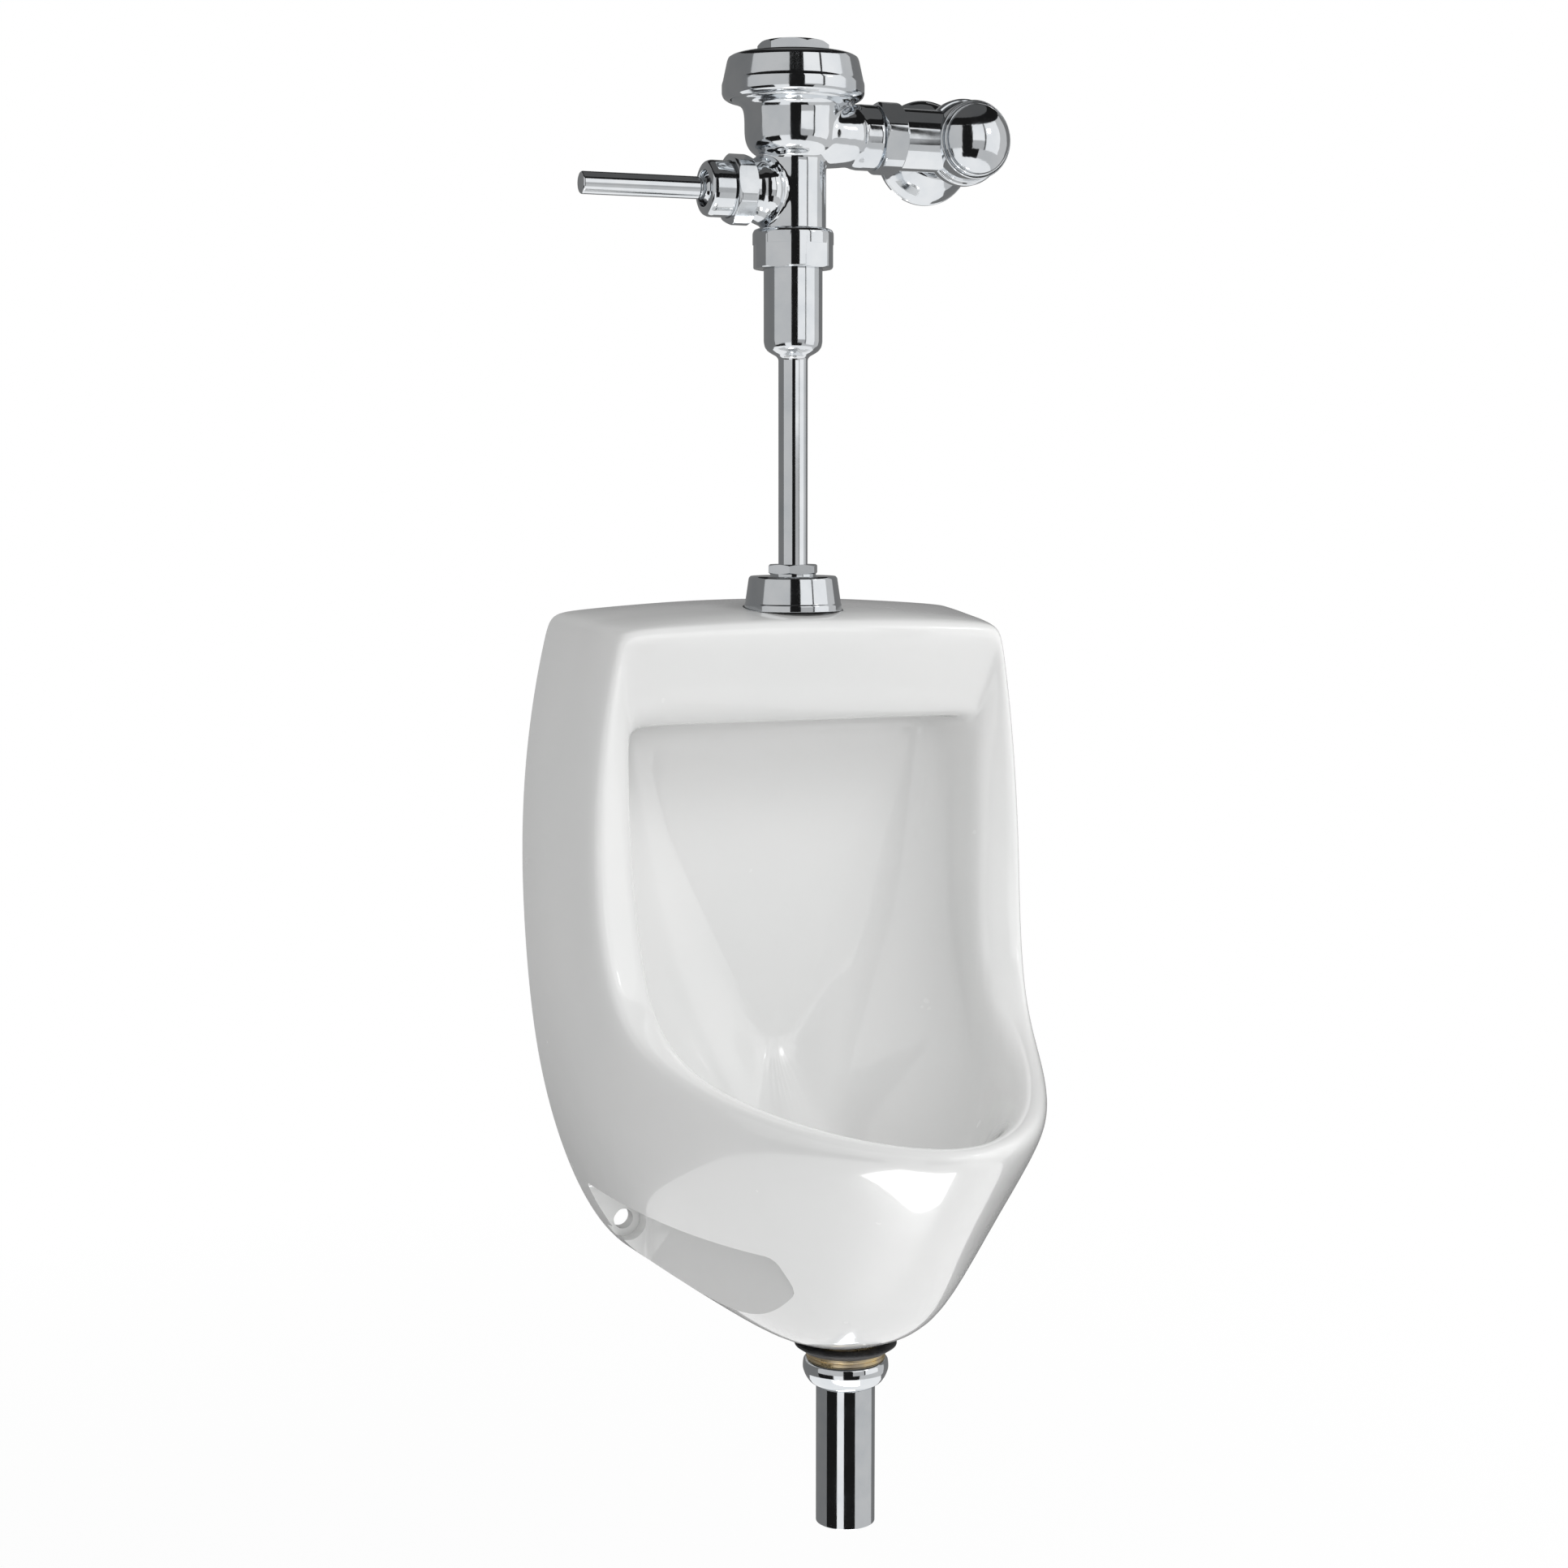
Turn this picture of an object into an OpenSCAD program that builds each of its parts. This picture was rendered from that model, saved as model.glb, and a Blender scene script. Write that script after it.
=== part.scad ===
// Wall-hung washout urinal with an exposed manual flush valve.
// Frame: the wall is the plane Y = 0 and the fixture stands in -Y; +X is the right side, +Z is up.
// The origin is on the wall, midway between the two anchor holes.

/* [China] */
// Height of the spud seat above the anchor bolt line
seat_z = 410; // [405:1:420]
// Distance of the spud and valve axis from the wall
spud_to_wall = 60; // [56:1:62]
// Distance of the outlet axis from the wall
outlet_to_wall = 148; // [144:1:152]
// Radius of the flat pad ground for the spud flange
seat_pad_r = 33; // [32.5:0.1:34]
// Radius of the round sump cut into the bowl floor
sump_r = 34; // [33.5:0.1:36]
// Depth of the sump floor below the spud seat
sump_drop = 426; // [424:1:430]
// Thickness of the china from the sump floor to the outlet face
outlet_t = 40; // [38:0.5:42]
// Half the distance between the two anchor holes
anchor_x = 103; // [101:0.5:104]
// Radius of an anchor hole
anchor_r = 6.8; // [5:0.1:7.5]
// Radius of the counterbore of an anchor hole
anchor_cb_r = 11.8; // [10:0.1:12]
// Thickness of the anchor lugs
lug_t = 22; // [20:0.5:26]
// China left under the anchor counterbore
lug_floor_t = 10; // [6:0.5:14]
// Radius of the flush channel behind the header
channel_r = 10; // [8:0.5:11]
// Depth of the flush channel axis below the spud seat
channel_drop = 42; // [40:1:44]
// Half length of the flush channel
channel_half = 92; // [70:1:96]
// Number of rim holes below the channel
rim_hole_count = 11; // [5:2:15]
// Radius of a rim hole
rim_hole_r = 2.2; // [1.5:0.1:3]

/* [Wall hangers] */
// Distance of each hanger from the centre line
hanger_x = 92; // [88:1:96]
// Width of a hanger plate
hanger_w = 46; // [40:1:50]
// Thickness of the hanger steel
hanger_t = 3; // [2.5:0.1:3.5]
// Height of a hanger plate
hanger_h = 50; // [46:1:54]
// Top of the hangers below the spud seat
hanger_drop = 92; // [88:1:96]
// Space between the hanger plate and its lip
hook_gap = 4.6; // [4:0.1:5]
// Radius of a hanger screw hole
hanger_hole_r = 2.8; // [2:0.1:3.2]
// Distance between the two screw holes of a hanger
hanger_pitch = 20; // [16:1:22]

/* [Spud] */
// Outer diameter of the flush tube
tube_d = 19.05; // [18:0.05:20]
// Wall of the flush tube
tube_wall = 0.9; // [0.7:0.05:1.2]
// Radius of the spud thread
spud_r = 13; // [12.7:0.1:13.4]
// Length of the spud above its seat
spud_top = 20.5; // [19.5:0.1:21]
// Length of the spud below its seat
spud_tail = 27; // [24:0.5:29]
// Radius of the spud shoulder
spud_shoulder_r = 20; // [18:0.1:22]
// Thickness of the spud shoulder
spud_shoulder_t = 3.5; // [3:0.1:4]
// Thickness of the rubber washer on the china
spud_washer_t = 2.6; // [2:0.1:3]
// Thickness of the rubber sleeve in the china hole
spud_sleeve_t = 3.2; // [2.5:0.1:4]
// Thickness of the expansion nut under the sleeve
spud_nut_t = 4; // [3:0.1:5]
// Bottom radius of the chrome spud flange
escutcheon_r = 32; // [31:0.1:32.3]
// Top radius of the chrome spud flange
escutcheon_top_r = 29; // [27:0.1:30]
// Height of the chrome spud flange
escutcheon_h = 22.8; // [22:0.1:23.2]
// Sheet thickness of the chrome spud flange
escutcheon_t = 1.3; // [1:0.1:1.6]
// Width across flats of the spud coupling nut
spud_hex_af = 30; // [29.5:0.1:32]
// Radius of the round collar of that nut
spud_collar_r = 15; // [14.6:0.1:15.3]
// Height of the hex of that nut
spud_hex_h = 6.3; // [5.5:0.1:7]
// Height of the gasket inside that nut
spud_gasket_t = 3.2; // [2.5:0.1:3.6]
// Height of the friction ring inside that nut
friction_t = 1.5; // [1:0.1:1.8]

/* [Flush tube] */
// Outer diameter of the vacuum breaker head
head_d = 38.1; // [37.5:0.05:38.6]
// Wall of the vacuum breaker head
head_wall = 1.1; // [0.9:0.05:1.4]
// Height of the foot of the taper above the seat
taper_z = 164; // [150:1:170]
// Height of the taper
taper_h = 8; // [6:0.5:12]
// Height of the top of the tube flange above the seat
head_top = 228; // [226:0.5:229]
// Radius of the tube flange
head_flange_r = 21.3; // [20.8:0.1:21.4]
// Thickness of the tube flange
head_flange_t = 2.4; // [2:0.1:2.8]
// Radius of the breaker sack bore
sack_r = 10; // [9.6:0.1:12]
// Radius of the breaker insert bore
insert_r = 6; // [5:0.1:7]
// Thickness of one breaker ring
breaker_t = 1.6; // [1.2:0.1:1.8]
// Radius of the flush coupling nut
flush_nut_r = 26.25; // [25.6:0.05:27]
// Width across the wrench flats of that nut
flush_nut_af = 49.9; // [48.6:0.1:51]
// Height of the whole nut
flush_nut_h = 25.5; // [24:0.5:26.5]
// Height of its lower part with the flats
flush_flat_h = 15.5; // [13:0.5:17]
// Thickness of the lip that holds the tube flange
flush_lip_t = 4.8; // [4:0.1:5]

/* [Valve] */
// Radius of the lower stem of the valve body
stem_r = 21.3; // [21:0.1:21.4]
// Radius of the valve barrel
barrel_r = 31.4; // [30.5:0.1:33]
// Length of the stem from the breaker gasket to the barrel
stem_l = 59.4; // [58.4:0.2:61.4]
// Radius of the threaded top of the body
crown_r = 40; // [39.5:0.1:40.6]
// Height of the body over the bottom of the barrel
barrel_h = 45; // [43.5:0.5:46]
// Height of the axis of the inlet and the control stop over the bottom of the barrel
inlet_rise = 13.5; // [12.5:0.5:15]
// Depth of the axis of the handle below the bottom of the barrel
handle_below = 23.4; // [22:0.2:26]
// Radius of the main seat bore
seat_bore_r = 12.9; // [12.6:0.05:13.2]
// Wall of the main seat tube
seat_wall = 3.4; // [2.8:0.1:3.6]
// Depth of the main seat below the top of the body
seat_step = 4; // [3.6:0.1:4.5]
// Radius of the cover rim
cover_r = 45.9; // [45:0.1:48]
// Radius of the cover at its top edge
cover_top_r = 42.4; // [41.6:0.1:44]
// Depth of the cover rim below the top of the body
cover_lap = 7.5; // [6:0.5:8.5]
// Height of the cover
cover_h = 26.5; // [26:0.1:28]
// Radius over the corners of the wrench boss
boss_r = 23.2; // [20:0.1:26]
// Height of the wrench boss
boss_h = 7; // [5:0.1:9]
// Thickness of the diaphragm
diaphragm_t = 2.5; // [2:0.1:2.8]
// Play of the diaphragm and the inside cover in the outside cover
diaphragm_play = 0.8; // [0.5:0.1:1.8]
// Radius of the clamping disc
disc_r = 17; // [15:0.1:20]
// Height of the relief valve head
relief_t = 2; // [1.6:0.1:2.2]
// Radius of the relief valve head
relief_r = 11.5; // [10:0.1:13]
// Radius of the relief valve stem
relief_stem_r = 2.5; // [2:0.1:3]
// Lift of the guide in a flush
guide_lift = 3; // [2:0.1:3.1]

/* [Handle] */
// Radius of the lever rod
rod_r = 7.1; // [6.5:0.1:7.6]
// Distance of the rod tip from the valve axis
rod_tip = 144; // [120:1:170]
// Radius of the handle socket
socket_r = 17.9; // [17.4:0.1:18.2]
// Distance of the socket face from the valve axis
socket_face = 62; // [61:0.5:66]
// Radius of the socket mouth
socket_mouth_r = 11.5; // [11:0.1:12]
// Wall of the socket face
socket_wall = 3.5; // [3:0.1:4]
// Radius of the lever flange inside the socket
lever_flange_r = 15.2; // [14.6:0.1:15.3]
// Thickness of the lever flange
lever_flange_t = 3; // [2.5:0.1:3.4]
// Width across flats of the handle coupling nut
handle_nut_af = 42; // [41.6:0.1:43]
// Length of the handle coupling nut
handle_nut_l = 13.5; // [13:0.1:14]
// Distance of the handle boss face from the valve axis
port_face = 35; // [34.5:0.5:36]
// Radius of the handle boss
port_r = 19.2; // [18.8:0.1:19.3]
// Radius of the plunger
plunger_r = 3; // [2.6:0.1:3.4]
// Stroke of the plunger
plunger_stroke = 2.7; // [2.5:0.1:3]
// Radius of the handle spring
handle_spring_r = 5.2; // [4.9:0.1:5.8]
// Wire of the handle spring
handle_wire = 0.8; // [0.6:0.1:0.9]

/* [Control stop] */
// Distance between the valve axis and the stop axis
stop_x = 121; // [117:0.5:125]
// Radius of the inlet neck
neck_r = 21; // [20.6:0.1:21.1]
// Distance of the neck end from the valve axis
neck_end = 62; // [60:0.5:63]
// Radius of the tailpiece between valve and stop
link_r = 14; // [13.6:0.1:14.3]
// Bore radius of that tailpiece
link_bore_r = 11; // [10:0.1:11.6]
// Width across flats of the stop coupling nut
stop_nut_af = 43; // [42:0.1:44]
// Distance of the near face of that nut from the valve axis
stop_nut_x = 57; // [55:0.5:58]
// Length of that nut
stop_nut_l = 16; // [15.5:0.1:17]
// Radius of the stop body
stop_r = 20.1; // [19.6:0.1:20.3]
// Radius of the front ring of the stop body
stop_ring_r = 28.2; // [27:0.1:29]
// Radius of the dome cap
cap_r = 22.1; // [21:0.1:24]
// Bulge of the dome cap
cap_bulge = 9; // [7:0.5:11]
// Radius of the piston
piston_r = 14.6; // [14:0.1:14.7]
// Travel of the piston from shut to open
piston_travel = 6; // [4:0.5:6]
// Radius of the adjusting screw
screw_r = 4; // [3.5:0.1:4.3]
// Wire of the stop spring
stop_wire = 1.1; // [0.9:0.1:1.3]

/* [Supply] */
// Radius of the wall flange
wall_flange_r = 35; // [32:0.5:38]
// Height of the wall flange dome
wall_flange_h = 20; // [16:0.5:22]
// Radius of the cover tube
cover_tube_r = 16; // [15.6:0.1:16.5]
// Bore radius of the supply adapter
supply_bore_r = 11.15; // [10.8:0.05:11.4]
// Outer radius of the supply adapter
supply_r = 13.4; // [13:0.1:13.6]

/* [Outlet] */
// Outer diameter of the tailpiece
tail_d = 38.1; // [37.8:0.1:38.4]
// Wall of the tailpiece
tail_wall = 1.2; // [1:0.1:1.4]
// Distance of the tailpiece end below the spud seat
tail_end = 585.5; // [560:0.5:640]
// Thread radius of the outlet spud
outlet_r = 22.5; // [22:0.1:22.8]
// Radius of the outlet spud flange in the sump
outlet_flange_r = 32.5; // [31:0.1:33]
// Radius of the rubber gasket under the china
gasket_r = 33; // [30:0.5:33.5]
// Height of that gasket
gasket_h = 5.2; // [4.8:0.1:5.6]
// Radius of the brass locknut
locknut_r = 25.6; // [25:0.1:26.5]
// Height of the brass locknut
locknut_h = 5; // [4.6:0.1:5.4]
// Radius of the chrome slip collar
collar_r = 27.6; // [26.5:0.1:29]
// Height of the chrome slip collar
collar_h = 16.5; // [15.5:0.1:18]
// Radius of the bowl strainer
strainer_r = 31; // [29:0.1:31.5]
// Thickness of the bowl strainer
strainer_t = 2.2; // [1.6:0.1:3]

/* [Clearances] */
// Gap between parts that seat on each other
seat_gap = 0.2; // [0.15:0.05:0.25]
// Radial gap between parts that slide or screw together
slip = 0.3; // [0.25:0.05:0.35]

/* [Hidden] */
$fn = 72;
tube_r = tube_d / 2;
head_r = head_d / 2;
tail_r = tail_d / 2;
outlet_drop = sump_drop + outlet_t;
tube_bore = tube_r + slip;
china_hole_r = spud_r + spud_sleeve_t + seat_gap;

// Colours of the finishes
china_col = [0.93, 0.94, 0.94];
chrome_col = [0.78, 0.80, 0.82];
brass_col = [0.80, 0.64, 0.33];
rubber_col = [0.10, 0.10, 0.11];
steel_col = [0.60, 0.61, 0.62];
plastic_col = [0.86, 0.86, 0.80];

// Places: each module puts its children on one axis of the fixture.
// Spud and valve axis, heights above the seat
module on_valve() {
    translate([0, -spud_to_wall, seat_z]) children();
}

// Handle axis: +Z of the child runs away from the valve, to the left
module on_handle() {
    translate([0, -spud_to_wall, seat_z + handle_z]) rotate([0, -90, 0]) children();
}

// Inlet axis: +Z of the child runs away from the valve, to the right
module on_inlet() {
    translate([0, -spud_to_wall, seat_z + inlet_z]) rotate([0, 90, 0]) children();
}

// Control stop axis: +Z of the child runs from the wall to the front
module on_stop() {
    translate([stop_x, 0, seat_z + inlet_z]) rotate([90, 0, 0]) children();
}

// Outlet axis, drops below the seat
module on_outlet() {
    translate([0, -outlet_to_wall, seat_z]) mirror([0, 0, 1]) children();
}

// A ring from radius r1 to r2 between the heights z1 and z2
module ring(r1, r2, z1, z2) {
    rotate_extrude() translate([r1, z1]) square([r2 - r1, z2 - z1]);
}

// A turned piece from its half section
module turned(points) {
    rotate_extrude() polygon(points);
}

// A hexagon bar given by its width across flats
module hex_bar(af, z1, z2, turn = 0) {
    translate([0, 0, z1]) rotate([0, 0, turn]) cylinder(r = af / sqrt(3), h = z2 - z1, $fn = 6);
}

// A hexagon with a chamfer of height c at both ends and its corners turned down to radius round_r
module hex_nut(af, z1, z2, c, turn = 0, round_r = 0) {
    corner = af / sqrt(3);
    face_r = 0.497 * af;
    over = round_r > 0 ? round_r : corner + 1;
    rise = c * (over - face_r) / (corner - face_r);
    intersection() {
        hex_bar(af, z1, z2, turn);
        turned([[0, z1], [face_r, z1], [over, z1 + rise], [over, z2 - rise], [face_r, z2], [0, z2]]);
    }
}

// China body
// The shell is a net of control loops seen from the front. Each loop runs from the top centre down the
// right side to the bottom centre and is mirrored to the left. A point is [half width, depth from the
// wall, drop below the spud seat]. The loops run from the wall edge over the rim to the back of the bowl.
back_edge = [
    [0, 0, -6], [50, 0, -5.5], [100, 0, -2.5], [133, 0, 0], [147, 0, 2.5], [151, 0, 16], [159, 0, 52],
    [166.5, 0, 105], [169, 0, 165], [166, 0, 235], [159, 0, 298], [145, 0, 354], [124, 0, 404],
    [94, 0, 440], [45, 0, 452], [0, 0, 452]];
skirt_back = [
    [0, 26, -5.2], [50, 26, -4.5], [100, 25, -1.5], [131, 25, 1.2], [144, 24, 4.5], [148, 23, 18], [156, 21, 53],
    [163.5, 20, 105], [166.5, 19, 163], [164, 20, 230], [158, 24, 292], [144, 38, 356], [118, 62, 408],
    [80, 94, 444], [43, 107, 466], [0, 110, 472]];
skirt_mid = [
    [0, 52, -3], [50, 52, -2.5], [99.5, 51, 0.5], [129, 50, 3.5], [141, 49, 7], [145, 48, 21], [152.5, 44, 56],
    [159.5, 41, 105], [162.5, 40, 162], [160.5, 43, 225], [156, 55, 285], [140, 92, 352], [108, 138, 394],
    [67, 172, 440], [41, 190, 466], [0, 192, 472]];
skirt_front = [
    [0, 76, -0.6], [50, 76, -0.2], [99, 75, 2.5], [127, 74, 5.5], [138.5, 73, 9], [142, 72, 23], [149, 66, 58],
    [155.5, 62, 105], [158, 62, 161], [156, 66, 220], [152, 82, 276], [135, 135, 332], [105, 190, 358],
    [66, 222, 382], [30, 244, 399], [0, 250, 403]];
edge_back = [
    [0, 94, 2.6], [50, 94, 3], [98, 93, 5], [124, 92, 7.5], [135, 91, 11], [138.5, 90, 25], [145.5, 86, 60],
    [151, 84, 106], [153.5, 85, 160], [152, 91, 216], [147, 110, 266], [129, 170, 302], [103, 228, 315],
    [70, 276, 322], [30, 308, 327], [0, 317, 328]];
outer_edge = [
    [0, 107, 6.5], [50, 107, 7], [96, 105.5, 8.5], [121, 104, 9.5], [132, 103, 13], [135.5, 101.5, 27], [142, 99, 62],
    [147.5, 97.5, 108], [150, 99.5, 160], [148, 106, 214], [141, 127, 261], [125, 179, 284], [100, 237, 296],
    [69, 288, 303], [30, 322, 306], [0, 332, 306]];
front_face = [
    [0, 99, 34], [50, 99, 34], [96, 98, 34], [118, 96, 34], [128, 94.5, 37], [130, 93.5, 49], [133.5, 93, 79],
    [136, 92.5, 115], [137, 95, 164], [134, 102, 218], [131, 121, 256], [119, 172, 278], [95, 229, 290],
    [64, 281, 297], [28, 315, 300], [0, 325, 300]];
inner_edge = [
    [0, 87, 70], [50, 87, 70], [95, 86.5, 70], [113, 86.5, 70], [122.5, 86, 71.5], [123, 86, 80], [123, 86.5, 98],
    [122.5, 87, 125], [121.5, 90, 168], [118, 98, 222], [118, 117, 256], [110, 168, 280], [88, 222, 291],
    [58, 272, 298], [25, 305, 301], [0, 315, 301]];
lip_inside = [
    [0, 76, 71], [50, 76, 71], [94, 76, 71], [110, 76, 71.5], [118.5, 76, 74], [120.5, 76, 83], [121, 76, 100],
    [120.5, 76, 126], [119.5, 78, 169], [116, 87, 224], [114, 108, 260], [104, 157, 290], [81, 208, 306],
    [52, 256, 314], [22, 290, 318], [0, 299, 318]];
bowl_side = [
    [0, 56, 71], [50, 56, 71], [93, 56, 71], [107, 57, 72], [114, 57, 76], [117, 57, 87], [117.5, 57, 104],
    [117.5, 57, 129], [116, 59, 174], [114, 68, 232], [113, 98, 270], [101, 148, 308], [78, 192, 334],
    [49, 228, 350], [20, 254, 358], [0, 260, 360]];
side_crease = [
    [0, 38, 72], [50, 38, 72], [92, 38, 72], [104, 39, 74], [110, 40, 80], [112, 41, 94], [113.5, 42, 114],
    [114, 45, 140], [113, 52, 190], [112, 64, 244], [110, 92, 290], [92, 134, 338], [67, 168, 368],
    [42, 196, 388], [18, 212, 398], [0, 216, 400]];
back_crease = [
    [0, 29, 80], [50, 29, 80], [88, 29, 80], [98, 30, 82], [101, 30, 88], [100, 30, 102], [95, 30, 124],
    [88, 31, 155], [79, 33, 205], [67, 37, 262], [51, 50, 318], [36, 72, 362], [27, 100, 394],
    [19, 124, 413], [8, 136, 421], [0, 140, 423]];
back_wall = [
    [0, 28, 130], [30, 28, 132], [54, 28, 136], [62, 28, 142], [65, 28, 150], [65, 28, 160], [63, 28, 175],
    [59, 29, 195], [53, 30, 228], [45, 34, 265], [35, 43, 302], [25, 55, 332], [17, 67, 350],
    [11, 76, 360], [5, 81, 364], [0, 82, 365]];
// The last loop is a small ring at the middle of the back wall
centre_drop = 290;
centre_depth = 29;
centre_ring_r = 12;
stations = len(back_edge);
wall_centre = [for (i = [0 : stations - 1])
    let (a = 180 * i / (stations - 1))
    [centre_ring_r * sin(a), centre_depth, centre_drop - centre_ring_r * cos(a)]];
china_loops = [back_edge, skirt_back, skirt_mid, skirt_front, edge_back, outer_edge, front_face,
    inner_edge, lip_inside, bowl_side, side_crease, back_crease, back_wall, wall_centre];
// Steps between two stations of a loop, and between two loops
around_steps = 2;
across_steps = 2;

// A half loop mirrored to a whole one, in model coordinates
function whole_loop(half) = [
    for (i = [0 : 2 * stations - 3])
    let (k = i < stations ? i : 2 * stations - 2 - i)
    let (side = i < stations ? 1 : -1)
    [side * half[k][0], -half[k][1], seat_z - half[k][2]]];

// One point of a uniform cubic B-spline through four control points
function spline(a, b, c, d, t) =
    (pow(1 - t, 3) * a + (3 * pow(t, 3) - 6 * t * t + 4) * b
    + (-3 * pow(t, 3) + 3 * t * t + 3 * t + 1) * c + pow(t, 3) * d) / 6;

// A closed loop made finer by the spline
function fine_loop(loop) =
    let (n = len(loop))
    [for (i = [0 : n - 1], s = [0 : around_steps - 1])
        spline(loop[(i + n - 1) % n], loop[i], loop[(i + 1) % n], loop[(i + 2) % n], s / around_steps)];

// The loop before the first and after the last, so that the surface ends on its end loops
function past(end, before) = [for (i = [0 : len(end) - 1]) 2 * end[i] - before[i]];

// All rings of the shell
function shell_rings() =
    let (fine = [for (loop = china_loops) fine_loop(whole_loop(loop))])
    let (m = len(fine))
    let (net = concat([past(fine[0], fine[1])], fine, [past(fine[m - 1], fine[m - 2])]))
    concat(
        [for (j = [0 : m - 2], s = [0 : across_steps - 1])
            [for (i = [0 : len(fine[0]) - 1])
                spline(net[j][i], net[j + 1][i], net[j + 2][i], net[j + 3][i], s / across_steps)]],
        [fine[m - 1]]);

// The closed shell: rings joined by triangles, a fan on the wall side and one at the back of the bowl
module shell() {
    rings = shell_rings();
    rows = len(rings);
    n = len(rings[0]);
    points = concat([for (ring = rings) each ring],
        [[0, 0, seat_z - centre_drop], [0, -centre_depth, seat_z - centre_drop]]);
    side_faces = [for (j = [0 : rows - 2], i = [0 : n - 1], half = [0, 1])
        let (a = j * n + i)
        let (b = j * n + (i + 1) % n)
        half == 0 ? [a, b, b + n] : [a, b + n, a + n]];
    wall_faces = [for (i = [0 : n - 1]) [(i + 1) % n, i, rows * n]];
    bowl_faces = [for (i = [0 : n - 1]) [(rows - 1) * n + i, (rows - 1) * n + (i + 1) % n, rows * n + 1]];
    polyhedron(points = points, faces = concat(side_faces, wall_faces, bowl_faces), convexity = 8);
}

// The hollow under the left or right of the bowl, in front of an anchor lug
hollow_top_back = 378.5;
hollow_slope = 0.055;
hollow_front = 205;
hollow_wall_back = 89;
hollow_wall_front = 58;
hollow_low = 520;
hollow_wide = max([for (loop = china_loops, p = loop) p[0]]) + lug_t;
module hollow(side) {
    plan = [[hollow_wall_back, lug_t], [hollow_wide, lug_t], [hollow_wide, hollow_front], [hollow_wall_front, hollow_front]];
    low = [for (p = plan) [side * p[0], -p[1], seat_z - hollow_low]];
    high = [for (p = plan) [side * p[0], -p[1], seat_z - hollow_top_back - hollow_slope * (p[1] - lug_t)]];
    right_faces = [[3, 2, 1, 0], [4, 5, 6, 7], [5, 4, 0, 1], [6, 5, 1, 2], [7, 6, 2, 3], [4, 7, 3, 0]];
    left_faces = [for (f = right_faces) [f[3], f[2], f[1], f[0]]];
    polyhedron(points = concat(low, high), faces = side > 0 ? right_faces : left_faces);
}

// The pocket in the back for a hanger, with the bar that drops into the hook
pocket_gap = 2;
pocket_depth = 2 * hanger_t + hook_gap + pocket_gap;
module hanger_pocket(side) {
    bar_top = hanger_drop - pocket_gap;
    translate([side * hanger_x, 0, seat_z])
        difference() {
            translate([-hanger_w / 2 - pocket_gap, -pocket_depth, -hanger_drop - hanger_h - pocket_gap])
                cube([hanger_w + 2 * pocket_gap, pocket_depth + 1, hanger_h + 2 * pocket_gap]);
            translate([-hanger_w, -hanger_t - hook_gap + slip, -hanger_drop - hook_drop + seat_gap])
                cube([2 * hanger_w, hook_gap - 2 * slip, hook_drop + 2 * pocket_gap]);
        }
}

// Height of the cut that makes the sump, and the ground rim round the outlet gasket
sump_wall = 22;
gasket_room = 1.5;
module china_body() {
    color(china_col)
        difference() {
            shell();
            for (side = [-1, 1]) hollow(side);
            for (side = [-1, 1]) hanger_pocket(side);
            for (side = [-1, 1]) anchor_hole(side);
            // Ground pad and hole for the spud
            on_valve() cylinder(r = seat_pad_r, h = 20);
            on_valve() translate([0, 0, -channel_drop]) cylinder(r = china_hole_r, h = channel_drop + 1);
            // Flush channel and its rim holes
            translate([-channel_half, -spud_to_wall, seat_z - channel_drop])
                rotate([0, 90, 0]) cylinder(r = channel_r, h = 2 * channel_half);
            for (i = [0 : rim_hole_count - 1]) rim_hole(i);
            // Round sump, outlet bore and ground outlet face
            on_outlet() translate([0, 0, sump_drop - sump_wall]) cylinder(r = sump_r, h = sump_wall);
            on_outlet() translate([0, 0, sump_drop - 1]) cylinder(r = outlet_r + slip, h = hollow_low - sump_drop);
            on_outlet() translate([0, 0, outlet_drop]) cylinder(r = gasket_r + gasket_room, h = hollow_low - outlet_drop);
        }
}

module anchor_hole(side) {
    translate([side * anchor_x, 1, 0]) rotate([90, 0, 0]) cylinder(r = anchor_r, h = lug_t + 2);
    translate([side * anchor_x, -lug_floor_t, 0]) rotate([90, 0, 0]) cylinder(r = anchor_cb_r, h = 2 * lug_t);
}

module rim_hole(i) {
    span = 2 * (channel_half - channel_r);
    x = -span / 2 + span * i / (rim_hole_count - 1);
    translate([x, -spud_to_wall, seat_z - channel_drop - 40]) cylinder(r = rim_hole_r, h = 40, $fn = 24);
}

// Wall hangers: a steel plate with an upturned hook
hook_drop = 18;
lip_h = 14;
module wall_hanger(side) {
    color(steel_col)
        translate([side * hanger_x, 0, seat_z - hanger_drop])
            difference() {
                union() {
                    translate([-hanger_w / 2, -hanger_t, -hanger_h]) cube([hanger_w, hanger_t, hanger_h]);
                    translate([-hanger_w / 2, -2 * hanger_t - hook_gap, -hook_drop - hanger_t])
                        cube([hanger_w, 2 * hanger_t + hook_gap, hanger_t]);
                    translate([-hanger_w / 2, -2 * hanger_t - hook_gap, -hook_drop - hanger_t])
                        cube([hanger_w, hanger_t, lip_h]);
                }
                for (k = [0, 1])
                    translate([0, 1, -hanger_h + 6 + k * hanger_pitch])
                        rotate([90, 0, 0]) cylinder(r = hanger_hole_r, h = hanger_t + 2, $fn = 32);
            }
}
module wall_hanger_left() { wall_hanger(-1); }
module wall_hanger_right() { wall_hanger(1); }

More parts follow.
